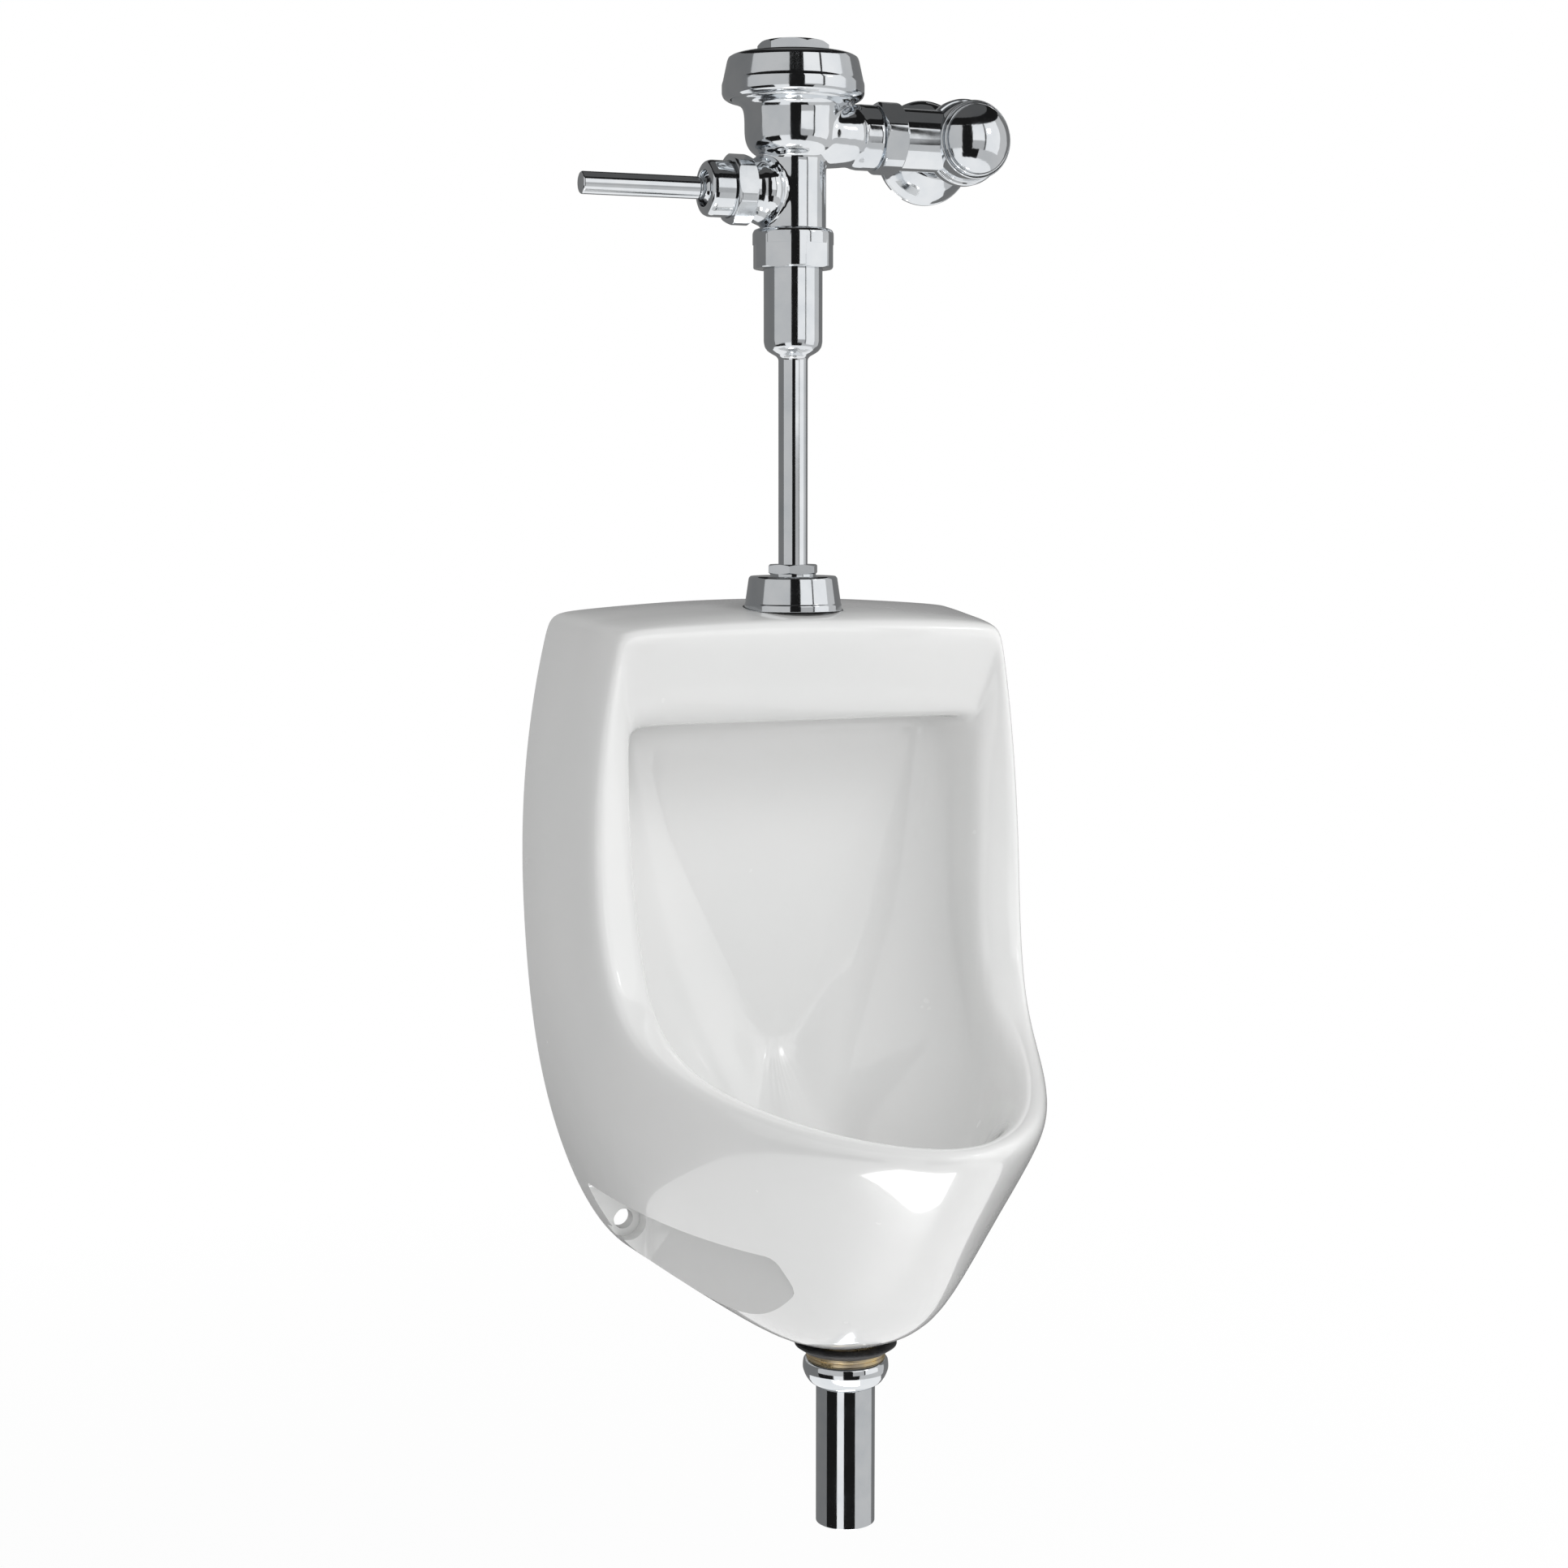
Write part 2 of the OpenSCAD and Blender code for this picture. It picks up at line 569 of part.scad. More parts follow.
// Top spud
shoulder_z = spud_washer_t + 2 * seat_gap;
spud_gasket_z = spud_top + seat_gap;
friction_z = spud_gasket_z + spud_gasket_t + seat_gap;
spud_web_z = friction_z + friction_t + seat_gap;
spud_nut_top = spud_web_z + 4.6;
spud_nut_low = spud_top - 12.5;
module spud_body() {
    color(brass_col) on_valve()
        turned([[tube_bore, -spud_tail], [spud_r, -spud_tail], [spud_r, shoulder_z], [spud_shoulder_r, shoulder_z],
            [spud_shoulder_r, shoulder_z + spud_shoulder_t], [spud_r, shoulder_z + spud_shoulder_t],
            [spud_r, spud_top], [tube_bore, spud_top]]);
}
module spud_washer() {
    color(rubber_col) on_valve() ring(spud_r + seat_gap, spud_shoulder_r + 1.5, seat_gap, seat_gap + spud_washer_t);
}
module spud_sleeve() {
    color(rubber_col) on_valve()
        ring(spud_r + seat_gap / 2, spud_r + spud_sleeve_t, spud_nut_t + seat_gap - spud_tail, 0);
}
module spud_expansion_nut() {
    color(brass_col) on_valve()
        ring(spud_r + seat_gap / 2, spud_r + spud_sleeve_t - seat_gap, -spud_tail, spud_nut_t - spud_tail);
}
module spud_flange() {
    mouth = spud_collar_r + 0.6;
    color(chrome_col) on_valve()
        turned([[escutcheon_r - escutcheon_t, seat_gap], [escutcheon_r, seat_gap], [escutcheon_r, 4],
            [escutcheon_r - 0.6, 5], [escutcheon_top_r, escutcheon_h - 1.2], [escutcheon_top_r - 1.2, escutcheon_h],
            [mouth, escutcheon_h], [mouth, escutcheon_h - escutcheon_t],
            [escutcheon_top_r - escutcheon_t - 0.6, escutcheon_h - escutcheon_t],
            [escutcheon_r - escutcheon_t - 0.6, 4.5], [escutcheon_r - escutcheon_t, 4]]);
}
module spud_gasket() {
    color(rubber_col) on_valve()
        ring(tube_r + seat_gap, spud_r - seat_gap, spud_gasket_z, spud_gasket_z + spud_gasket_t);
}
module friction_ring() {
    color(brass_col) on_valve() ring(tube_r + seat_gap, spud_r - seat_gap, friction_z, friction_z + friction_t);
}
module spud_coupling_nut() {
    color(chrome_col) on_valve()
        difference() {
            union() {
                translate([0, 0, spud_nut_low]) cylinder(r = spud_collar_r, h = spud_nut_top - spud_nut_low - 1);
                hex_nut(spud_hex_af, spud_nut_top - spud_hex_h, spud_nut_top, 1);
            }
            translate([0, 0, spud_nut_low - 1]) cylinder(r = spud_r + seat_gap, h = spud_web_z - spud_nut_low + 1);
            translate([0, 0, spud_nut_low]) cylinder(r = tube_bore, h = spud_nut_top);
        }
}

// Flush tube with the vacuum breaker
tube_foot = -12;
module flush_tube() {
    in_r = tube_r - tube_wall;
    head_in = head_r - head_wall;
    color(chrome_col) on_valve()
        turned([[in_r, tube_foot], [tube_r, tube_foot], [tube_r, taper_z], [tube_r + 1.5, taper_z + 1.2],
            [head_r - 1.5, taper_z + taper_h - 1.8], [head_r, taper_z + taper_h], [head_r, head_top - head_flange_t],
            [head_flange_r, head_top - head_flange_t], [head_flange_r, head_top], [head_in, head_top],
            [head_in, taper_z + taper_h], [in_r, taper_z + 1.2]]);
}
sack_z = head_top + seat_gap;
insert_z = sack_z + breaker_t + seat_gap;
breaker_gasket_z = insert_z + breaker_t + seat_gap;
body_foot = breaker_gasket_z + breaker_t + seat_gap;
// Heights on the valve, each from the piece or the face below it
barrel_z = body_foot + stem_l;
inlet_z = barrel_z + inlet_rise;
handle_z = barrel_z - handle_below;
body_top = barrel_z + barrel_h;
main_seat_z = body_top - seat_step;
cover_z = body_top - cover_lap;
breaker_r = head_flange_r - 0.5;
module breaker_sack() {
    color(rubber_col) on_valve()
        turned([[sack_r, taper_z + taper_h + 14], [sack_r + 1.2, taper_z + taper_h + 14], [sack_r + 1.2, sack_z],
            [breaker_r, sack_z], [breaker_r, sack_z + breaker_t], [sack_r, sack_z + breaker_t]]);
}
module breaker_insert() {
    color(plastic_col) on_valve()
        turned([[insert_r, head_top - 28], [insert_r + 2, head_top - 28], [sack_r - 0.8, head_top - 20],
            [sack_r - 0.8, insert_z], [breaker_r, insert_z], [breaker_r, insert_z + breaker_t],
            [insert_r, insert_z + breaker_t]]);
}
module breaker_gasket() {
    color(rubber_col) on_valve() ring(breaker_r - 6, breaker_r, breaker_gasket_z, breaker_gasket_z + breaker_t);
}
flush_nut_z = head_top - head_flange_t - seat_gap - flush_lip_t;
module flush_coupling_nut() {
    color(chrome_col) on_valve()
        difference() {
            union() {
                intersection() {
                    turned([[0, flush_nut_z], [flush_nut_r - 1, flush_nut_z], [flush_nut_r, flush_nut_z + 1],
                        [flush_nut_r, flush_nut_z + flush_flat_h], [0, flush_nut_z + flush_flat_h]]);
                    hex_bar(flush_nut_af, flush_nut_z - 1, flush_nut_z + flush_flat_h + 1, 15);
                }
                turned([[0, flush_nut_z + flush_flat_h], [flush_nut_r, flush_nut_z + flush_flat_h],
                    [flush_nut_r, flush_nut_z + flush_nut_h - 3], [flush_nut_r - 0.9, flush_nut_z + flush_nut_h - 0.9],
                    [flush_nut_r - 3, flush_nut_z + flush_nut_h], [0, flush_nut_z + flush_nut_h]]);
            }
            translate([0, 0, flush_nut_z - 1]) cylinder(r = head_r + slip, h = flush_nut_h + 2);
            translate([0, 0, flush_nut_z + flush_lip_t])
                cylinder(r = max(stem_r, head_flange_r) + slip, h = flush_nut_h);
        }
}

// Flush valve body: barrel, stem, inlet neck and handle boss in one casting
chamber_r = barrel_r - 3.6;
// Lower edge of the cover's skirt, thread of the neck under the stop nut, and the flare of the handle boss
skirt_z = cover_z - 3.3;
thread_r = neck_r - 2.5;
port_start = 12;
port_flare_r = port_r + 3;
chamber_low = barrel_z + 7;
module valve_body() {
    color(chrome_col)
        difference() {
            union() {
                on_valve() turned([[0, body_foot], [stem_r, body_foot], [stem_r, barrel_z - 3],
                    [stem_r + 0.8, barrel_z - 1.4], [stem_r + 3, barrel_z - 0.2], [barrel_r - 4.4, barrel_z + 1.8],
                    [barrel_r - 1.8, barrel_z + 5.2], [barrel_r - 0.4, barrel_z + 9.5], [barrel_r, barrel_z + 14],
                    [barrel_r, skirt_z - 12], [barrel_r + 0.6, skirt_z - 6], [barrel_r + 2.2, skirt_z - 3.2],
                    [crown_r - 3.6, skirt_z - 1.8], [crown_r - 1.2, skirt_z - 1.3], [crown_r, skirt_z - 0.7],
                    [crown_r, body_top], [0, body_top]]);
                on_inlet() turned([[0, 0], [neck_r - 1.6, 0], [neck_r - 1.6, barrel_r + 7], [neck_r, barrel_r + 12],
                    [neck_r, stop_nut_x - 0.6], [thread_r, stop_nut_x - 0.6], [thread_r, neck_end], [0, neck_end]]);
                on_handle() turned([[0, 0], [port_r - 1.2, 0], [port_r - 1.2, port_start], [port_flare_r, port_start + 6],
                    [port_flare_r, port_start + 12], [port_r, port_face - 6], [port_r, port_face], [0, port_face]]);
            }
            // Ways to the tube, annular inlet chamber and main seat
            on_valve() translate([0, 0, body_foot - 1]) cylinder(r = stem_r - 4.2, h = 17);
            on_valve() translate([0, 0, body_foot]) cylinder(r = seat_bore_r, h = body_top);
            on_valve() ring(seat_bore_r + seat_wall, chamber_r, chamber_low, body_top + 1);
            on_valve() translate([0, 0, main_seat_z]) cylinder(r = seat_bore_r + seat_wall + 0.5, h = 20);
            // Inlet bore with the wider end for the tailpiece, and the handle bore
            on_inlet() translate([0, 0, seat_bore_r + seat_wall + 1.5]) cylinder(r = link_bore_r, h = neck_end);
            on_inlet() translate([0, 0, link_start - 1]) cylinder(r = link_r + slip, h = neck_end);
            on_handle() cylinder(r = bush_nose_r, h = bush_start - 3);
            on_handle() translate([0, 0, bush_start - 3.5]) cylinder(r = bush_r + slip, h = port_face);
        }
}
link_start = barrel_r + 5;
bush_start = 24;
bush_nose_r = 8;
bush_r = 11.5;

// The threaded cover with its wrench boss
cover_bore = crown_r + slip;
cover_in = cover_top_r - 3.6;
diaphragm_r = cover_in - diaphragm_play;
cover_top = cover_z + cover_h;
cover_in_top = cover_top - 4.6;
module outside_cover() {
    color(chrome_col) on_valve()
        difference() {
            union() {
                turned([[0, skirt_z], [cover_r - 3.4, skirt_z], [cover_r - 1, skirt_z + 1.6], [cover_r, skirt_z + 4],
                    [cover_r, skirt_z + 10], [cover_r - 0.7, skirt_z + 12],
                    [cover_top_r, cover_top - 5], [cover_top_r - 0.8, cover_top - 3.2], [cover_top_r - 3, cover_top - 2],
                    [boss_r + 1.5, cover_top], [0, cover_top]]);
                intersection() {
                    hex_bar(boss_r * sqrt(3), cover_top - 1, cover_top + boss_h, 30);
                    turned([[0, cover_top - 2], [boss_r + 1, cover_top - 2], [boss_r + 1, cover_top + boss_h - 2.7],
                        [boss_r - 3, cover_top + boss_h], [0, cover_top + boss_h]]);
                }
            }
            translate([0, 0, skirt_z - 1]) cylinder(r = cover_bore, h = body_top - skirt_z + 1);
            translate([0, 0, skirt_z]) cylinder(r = cover_in, h = cover_in_top - skirt_z);
        }
}
diaphragm_z = body_top + seat_gap;
inside_z = diaphragm_z + diaphragm_t + seat_gap;
dome_top = cover_in_top - seat_gap;
module inside_cover() {
    rim = diaphragm_r;
    color(plastic_col) on_valve()
        turned([[disc_r + 3, inside_z], [rim, inside_z], [rim, inside_z + 3], [disc_r + 6, inside_z + 3],
            [disc_r + 3, dome_top - 2], [disc_r, dome_top], [0, dome_top], [0, dome_top - 1.8], [disc_r - 1, dome_top - 1.8],
            [disc_r + 1.5, dome_top - 3.4]]);
}
guide_neck_r = 9.2;
module diaphragm() {
    color(rubber_col) on_valve()
        ring(guide_neck_r + seat_gap, diaphragm_r, diaphragm_z, diaphragm_z + diaphragm_t);
}
disc_z = diaphragm_z + diaphragm_t + seat_gap;
disc_t = 2.4;
module diaphragm_disc() {
    color(plastic_col) on_valve() ring(guide_neck_r + 0.1, disc_r, disc_z, disc_z + disc_t);
}
guide_r = seat_bore_r - slip;
guide_low = main_seat_z - 28;
guide_bore = 7.4;
guide_top = disc_z + disc_t + 0.6;
module guide() {
    color(plastic_col) on_valve()
        difference() {
            turned([[guide_bore, guide_low], [guide_r, guide_low], [guide_r, main_seat_z + seat_gap],
                [seat_bore_r + seat_wall - 0.4, main_seat_z + seat_gap],
                [seat_bore_r + seat_wall - 0.4, diaphragm_z - seat_gap],
                [guide_neck_r, diaphragm_z - seat_gap], [guide_neck_r, guide_top], [guide_bore, guide_top]]);
            for (a = [0 : 120 : 240])
                rotate([0, 0, a + 30]) translate([guide_bore - 1, -4, guide_low + 5]) cube([10, 8, 15]);
        }
}
relief_z = guide_top + seat_gap;
module relief_valve() {
    color(brass_col) on_valve()
        union() {
            translate([0, 0, relief_z]) cylinder(r = relief_r, h = relief_t);
            translate([0, 0, handle_z + 6]) cylinder(r = relief_stem_r, h = relief_z - handle_z - 5);
            translate([0, 0, handle_z - 9]) cylinder(r = relief_stem_r + 1.5, h = 18);
        }
}

// Handle group, distances from the valve axis
port_gasket_z = port_face + seat_gap;
bush_flange_z = port_gasket_z + 1.2 + seat_gap;
bush_face = bush_flange_z + 2.2;
socket_back = bush_face + seat_gap;
socket_flange_t = 4;
lever_flange_z = socket_face - socket_wall - 0.3 - lever_flange_t;
lever_hub_z = lever_flange_z - 5.2;
plunger_head_z = lever_hub_z - 0.3;
plunger_tip = relief_stem_r + 1.8;
module handle_gasket() {
    color(rubber_col) on_handle() ring(bush_r + 0.5, port_r - 0.4, port_gasket_z, port_gasket_z + 1.2);
}
module handle_bushing() {
    color(brass_col) on_handle()
        turned([[plunger_r + slip, bush_start], [bush_r, bush_start], [bush_r, bush_flange_z], [port_r, bush_flange_z],
            [port_r, bush_face], [plunger_r + slip, bush_face]]);
}
module handle_seal() {
    color(rubber_col) on_handle()
        ring(plunger_r + slip, bush_nose_r + 1.5, bush_start - 2, bush_start - seat_gap);
}
module plunger() {
    color(brass_col) on_handle()
        turned([[0, plunger_tip], [plunger_r - 1, plunger_tip], [plunger_r, plunger_tip + 1],
            [plunger_r, plunger_head_z - 2.2], [7, plunger_head_z - 2.2], [7, plunger_head_z], [0, plunger_head_z]]);
}

// A compression spring: one unbroken tube of triangles along a helix, closed at both ends
ring_sides = 6;
curl_rings = 8;
function helix_point(r, z1, z2, turns, k) =
    let (n = turns * curl_rings)
    [r * cos(360 * k / curl_rings), r * sin(360 * k / curl_rings), z1 + (z2 - z1) * k / n];
module spring(r, wire, z1, z2, turns) {
    n = turns * curl_rings;
    climb = atan((z2 - z1) / (2 * PI * r * turns));
    points = [for (k = [0 : n], s = [0 : ring_sides - 1])
        let (a = 360 * k / curl_rings)
        let (b = 360 * s / ring_sides)
        let (out = [cos(a), sin(a), 0])
        let (up = [sin(a) * sin(climb), -cos(a) * sin(climb), cos(climb)])
        helix_point(r, z1, z2, turns, k) + wire / 2 * (cos(b) * out + sin(b) * up)];
    sides = [for (k = [0 : n - 1], s = [0 : ring_sides - 1], half = [0, 1])
        let (p = k * ring_sides + s)
        let (q = k * ring_sides + (s + 1) % ring_sides)
        half == 0 ? [q, p, p + ring_sides] : [q, p + ring_sides, q + ring_sides]];
    start = [for (s = [1 : ring_sides - 2]) [0, s, s + 1]];
    end = [for (s = [1 : ring_sides - 2]) [n * ring_sides, n * ring_sides + s + 1, n * ring_sides + s]];
    polyhedron(points = points, faces = concat(sides, start, end), convexity = 6);
}
// Least gap between one curl and the next, measured on the centre points a turn apart
function curl_gap(r, wire, z1, z2, turns) =
    min([for (k = [0 : (turns - 1) * curl_rings])
        norm(helix_point(r, z1, z2, turns, k + curl_rings) - helix_point(r, z1, z2, turns, k)) - wire]);
handle_spring_start = bush_face + seat_gap + handle_wire / 2;
handle_spring_end = plunger_head_z - 2.2 - plunger_stroke - seat_gap - handle_wire / 2;
handle_turns = 3;
module handle_spring() {
    color(steel_col) on_handle()
        spring(handle_spring_r, handle_wire, handle_spring_start, handle_spring_end, handle_turns);
}
echo(handle_spring_gap = curl_gap(handle_spring_r, handle_wire, handle_spring_start, handle_spring_end, handle_turns));

module handle_lever() {
    shoulder = socket_mouth_r - 1.5;
    face = lever_flange_z + lever_flange_t;
    color(chrome_col) on_handle()
        turned([[0, lever_hub_z], [8.2, lever_hub_z], [9, lever_hub_z + 0.8], [9, lever_flange_z],
            [lever_flange_r, lever_flange_z], [lever_flange_r, face], [shoulder, face],
            [rod_r + 1, socket_face - 1.5], [rod_r - 0.5, socket_face], [rod_r - 0.5, socket_face + 3.6],
            [rod_r, socket_face + 4.2], [rod_r, rod_tip - 0.8], [rod_r - 0.8, rod_tip], [0, rod_tip]]);
}
module handle_socket() {
    bore = lever_flange_r + 1;
    inside = socket_face - socket_wall;
    color(chrome_col) on_handle()
        turned([[bore, socket_back], [port_r, socket_back], [port_r, socket_back + socket_flange_t],
            [socket_r, socket_back + socket_flange_t], [socket_r, socket_face - 4], [socket_r - 1.1, socket_face - 1.4],
            [socket_r - 3.6, socket_face], [socket_mouth_r, socket_face], [socket_mouth_r, inside], [bore, inside]]);
}
handle_nut_face = socket_back + socket_flange_t + seat_gap + 2;
// Chamfer of the two large nuts, and how far their turned corners stand over their flats
nut_chamfer = 2.2;
corner_stand = 1.8;
module handle_coupling_nut() {
    color(chrome_col) on_handle()
        difference() {
            hex_nut(handle_nut_af, handle_nut_face - handle_nut_l, handle_nut_face, nut_chamfer, 12, handle_nut_af / 2 + corner_stand);
            translate([0, 0, handle_nut_face - handle_nut_l - 1]) cylinder(r = socket_r + slip, h = handle_nut_l + 2);
            translate([0, 0, handle_nut_face - handle_nut_l - 1]) cylinder(r = port_r + slip, h = handle_nut_l - 1);
        }
}

// Control stop: link to the valve
link_end = stop_x - 27;
oring_z = neck_end + seat_gap;
lock_z = oring_z + 2.4 + seat_gap;
link_web = lock_z + 3.2 + seat_gap;
module stop_tailpiece() {
    color(brass_col) on_inlet() ring(link_bore_r, link_r, link_start, link_end);
}
module tailpiece_oring() {
    color(rubber_col) on_inlet()
        rotate_extrude() translate([link_r + seat_gap / 2 + 1.2, oring_z + 1.2]) circle(r = 1.2, $fn = 24);
}
module locking_ring() {
    color(brass_col) on_inlet()
        ring(link_r + seat_gap / 2, thread_r - 0.5, lock_z, lock_z + 3.2);
}
module stop_coupling_nut() {
    color(chrome_col) on_inlet()
        difference() {
            hex_nut(stop_nut_af, stop_nut_x, stop_nut_x + stop_nut_l, nut_chamfer, 18, stop_nut_af / 2 + corner_stand);
            translate([0, 0, stop_nut_x - 1]) cylinder(r = link_r + slip, h = stop_nut_l + 2);
            translate([0, 0, stop_nut_x - 1]) cylinder(r = thread_r + slip, h = link_web - stop_nut_x + 1);
        }
}

// Control stop body: distances from the wall
stop_y = spud_to_wall;
stop_back = stop_y - 21;
ring_front = stop_y + 21;
seat_back = stop_y - 12;
chamber_front = stop_y + 5;
piston_bore = piston_r + slip;
bonnet_r = 18;
step_r = 25.4;
bonnet_neck_r = bonnet_r - 4;
module stop_body() {
    barrel_start = stop_nut_x + stop_nut_l + seat_gap;
    color(chrome_col)
        difference() {
            union() {
                on_stop() turned([[0, stop_back], [stop_r - 1.2, stop_back], [stop_r - 0.8, stop_back + 0.4],
                    [stop_r - 0.8, stop_back + 3], [stop_r - 2.4, stop_back + 4], [stop_r - 1.2, stop_y - 14],
                    [stop_r + 2, stop_y - 10], [stop_ring_r - 2.4, stop_y - 5.5], [stop_ring_r, stop_y - 1.5],
                    [stop_ring_r, stop_y + 4.5], [stop_ring_r - 0.8, stop_y + 5.6], [step_r, stop_y + 6],
                    [step_r, ring_front - 0.5], [step_r - 0.5, ring_front], [0, ring_front]]);
                on_inlet() translate([0, 0, barrel_start]) cylinder(r = stop_r, h = stop_x - 8 - barrel_start);
            }
            on_inlet() translate([0, 0, barrel_start - 1]) cylinder(r = link_r + slip, h = link_end - barrel_start + 1.3);
            on_inlet() translate([0, 0, barrel_start - 1]) cylinder(r = link_bore_r - 1, h = stop_x - barrel_start + 1);
            on_stop() translate([0, 0, stop_back - 1]) cylinder(r = supply_r + slip, h = 11);
            on_stop() translate([0, 0, stop_back]) cylinder(r = piston_r - 4, h = stop_y);
            on_stop() translate([0, 0, seat_back]) cylinder(r = piston_bore, h = stop_y);
            on_stop() translate([0, 0, chamber_front]) cylinder(r = bonnet_r + slip, h = stop_y);
        }
}
piston_z = seat_back + seat_gap;
piston_h = chamber_front - piston_z - piston_travel - 0.6;
cup_floor = 3;
module stop_piston() {
    color(brass_col) on_stop()
        turned([[screw_r + slip, piston_z], [piston_r, piston_z], [piston_r, piston_z + piston_h],
            [piston_r - 3, piston_z + piston_h], [piston_r - 3, piston_z + cup_floor], [screw_r + slip, piston_z + cup_floor]]);
}
bonnet_z = chamber_front + seat_gap;
stop_spring_start = piston_z + cup_floor + piston_travel + seat_gap + stop_wire / 2;
stop_spring_end = bonnet_z - seat_gap - stop_wire / 2;
stop_spring_r = piston_r - 4.4;
stop_turns = 2;
module stop_spring() {
    color(steel_col) on_stop()
        spring(stop_spring_r, stop_wire, stop_spring_start, stop_spring_end, stop_turns);
}
echo(stop_spring_gap = curl_gap(stop_spring_r, stop_wire, stop_spring_start, stop_spring_end, stop_turns));
module stop_bonnet() {
    groove = bonnet_z + 3;
    color(brass_col) on_stop()
        turned([[screw_r + 0.05, bonnet_z], [bonnet_r, bonnet_z], [bonnet_r, groove], [bonnet_r - 2, groove],
            [bonnet_r - 2, groove + 2.4], [bonnet_r, groove + 2.4], [bonnet_r, ring_front + 1], [bonnet_neck_r, ring_front + 1],
            [bonnet_neck_r, ring_front + 6], [screw_r + 0.05, ring_front + 6]]);
}
module bonnet_oring() {
    color(rubber_col) on_stop()
        rotate_extrude() translate([bonnet_r - 0.9, bonnet_z + 4.2]) circle(r = 1, $fn = 24);
}
screw_tip = piston_z - 1;
module stop_screw() {
    head = ring_front + 8.5;
    color(brass_col) on_stop()
        difference() {
            union() {
                translate([0, 0, screw_tip]) cylinder(r = screw_r, h = head - screw_tip);
                translate([0, 0, head - 2]) cylinder(r = screw_r + 2, h = 2);
            }
            translate([-10, -0.8, head - 1]) cube([20, 1.6, 2]);
        }
}
sleeve_r = cap_r + 1.6;
cap_z = ring_front + 3;
module cap_sleeve() {
    back = ring_front + seat_gap;
    front = cap_z - slip;
    color(chrome_col) on_stop()
        turned([[bonnet_r + slip, back], [sleeve_r - 0.5, back], [sleeve_r, back + 0.5], [sleeve_r, front - 0.8],
            [sleeve_r - 0.8, front], [bonnet_neck_r + slip, front], [bonnet_neck_r + slip, back + 1.2],
            [bonnet_r + slip, back + 1.2]]);
}
// The cap is a shell: a shallow dome on a short cylinder
module stop_cap() {
    skin = 1.6;
    grip = 1.5;
    ball = (cap_r * cap_r + cap_bulge * cap_bulge) / (2 * cap_bulge);
    half = asin(cap_r / ball);
    steps = 10;
    outer = [for (i = [0 : steps]) [ball * sin(half * (1 - i / steps)), cap_z + grip + cap_bulge - ball * (1 - cos(half * (1 - i / steps)))]];
    inner = [for (i = [0 : steps])
        let (s = 1 - skin / cap_r)
        [s * ball * sin(half * i / steps), cap_z + grip + cap_bulge - skin - s * ball * (1 - cos(half * i / steps))]];
    color(chrome_col) on_stop() turned(concat([[cap_r, cap_z]], outer, inner, [[cap_r - skin, cap_z]]));
}

// Supply at the wall
module supply_adapter() {
    color(brass_col) on_stop() ring(supply_bore_r, supply_r, 0, stop_back + 8);
}
module cover_tube() {
    color(chrome_col) on_stop() ring(cover_tube_r - 1.2, cover_tube_r, 5, stop_back - seat_gap);
}
module wall_flange() {
    skin = 1.4;
    mouth = cover_tube_r + slip;
    color(chrome_col) on_stop()
        difference() {
            turned([[wall_flange_r - skin, 0], [wall_flange_r, 0], [wall_flange_r, 2.4], [wall_flange_r - 0.8, 3],
                [wall_flange_r - 3, 8], [wall_flange_r - 8, 14], [cover_tube_r + 4, wall_flange_h - 1],
                [cover_tube_r + 2, wall_flange_h], [mouth, wall_flange_h], [mouth, wall_flange_h - 6],
                [cover_tube_r + 3, wall_flange_h - 6], [wall_flange_r - 9.5, 12.2], [wall_flange_r - 4.6, 7], [wall_flange_r - 2.4, 3]]);
            rotate([0, 0, -125]) translate([wall_flange_r - 1.6, -5, -1]) cube([5, 10, 3.4]);
            translate([0, -cover_tube_r - 8, wall_flange_h - 3]) rotate([-90, 0, 0]) cylinder(r = 1.8, h = 9, $fn = 24);
        }
}
module flange_setscrew() {
    color(steel_col) on_stop()
        translate([0, -cover_tube_r - 3.4, wall_flange_h - 3]) rotate([-90, 0, 0]) cylinder(r = 1.6, h = 3.2, $fn = 24);
}

// Outlet: drops below the spud seat
strainer_drop = sump_drop - seat_gap - 3 - seat_gap - strainer_t;
gasket_drop = outlet_drop + seat_gap;
locknut_drop = gasket_drop + gasket_h;
collar_drop = locknut_drop + locknut_h + seat_gap;
outlet_low = collar_drop + collar_h - 8;
// The length inside the slip joint is drawn a little smaller than the bare tail that a trap slides on
tail_draw = 0.3;
tail_clear = 1.1;
drawn_r = tail_r - tail_draw;
module outlet_spud() {
    bore = tail_r + slip;
    top = sump_drop - seat_gap - 3;
    color(brass_col) on_outlet()
        difference() {
            union() {
                turned([[bore, top], [outlet_flange_r, top], [outlet_flange_r, top + 3], [outlet_r, top + 3],
                    [outlet_r, outlet_low], [bore, outlet_low]]);
                translate([-bore - 1, -3, top + 0.5]) cube([2 * bore + 2, 6, 5]);
            }
            translate([0, 0, top - 1]) cylinder(r = 2.2, h = 10, $fn = 32);
        }
}
module bowl_strainer() {
    holes = 12;
    color(chrome_col) on_outlet()
        difference() {
            translate([0, 0, strainer_drop]) cylinder(r = strainer_r, h = strainer_t);
            translate([0, 0, strainer_drop - 1]) cylinder(r = 2.4, h = strainer_t + 2, $fn = 32);
            for (k = [0 : holes - 1])
                rotate([0, 0, 360 * (k + 0.5) / holes]) translate([strainer_r * 0.5, 0, strainer_drop - 1])
                    cylinder(r = 2.8, h = strainer_t + 2, $fn = 24);
        }
}
module strainer_screw() {
    color(steel_col) on_outlet()
        union() {
            translate([0, 0, strainer_drop - seat_gap - 1.8]) cylinder(r = 4.5, h = 1.8);
            translate([0, 0, strainer_drop - seat_gap - 0.5]) cylinder(r = 2, h = 10.5);
        }
}
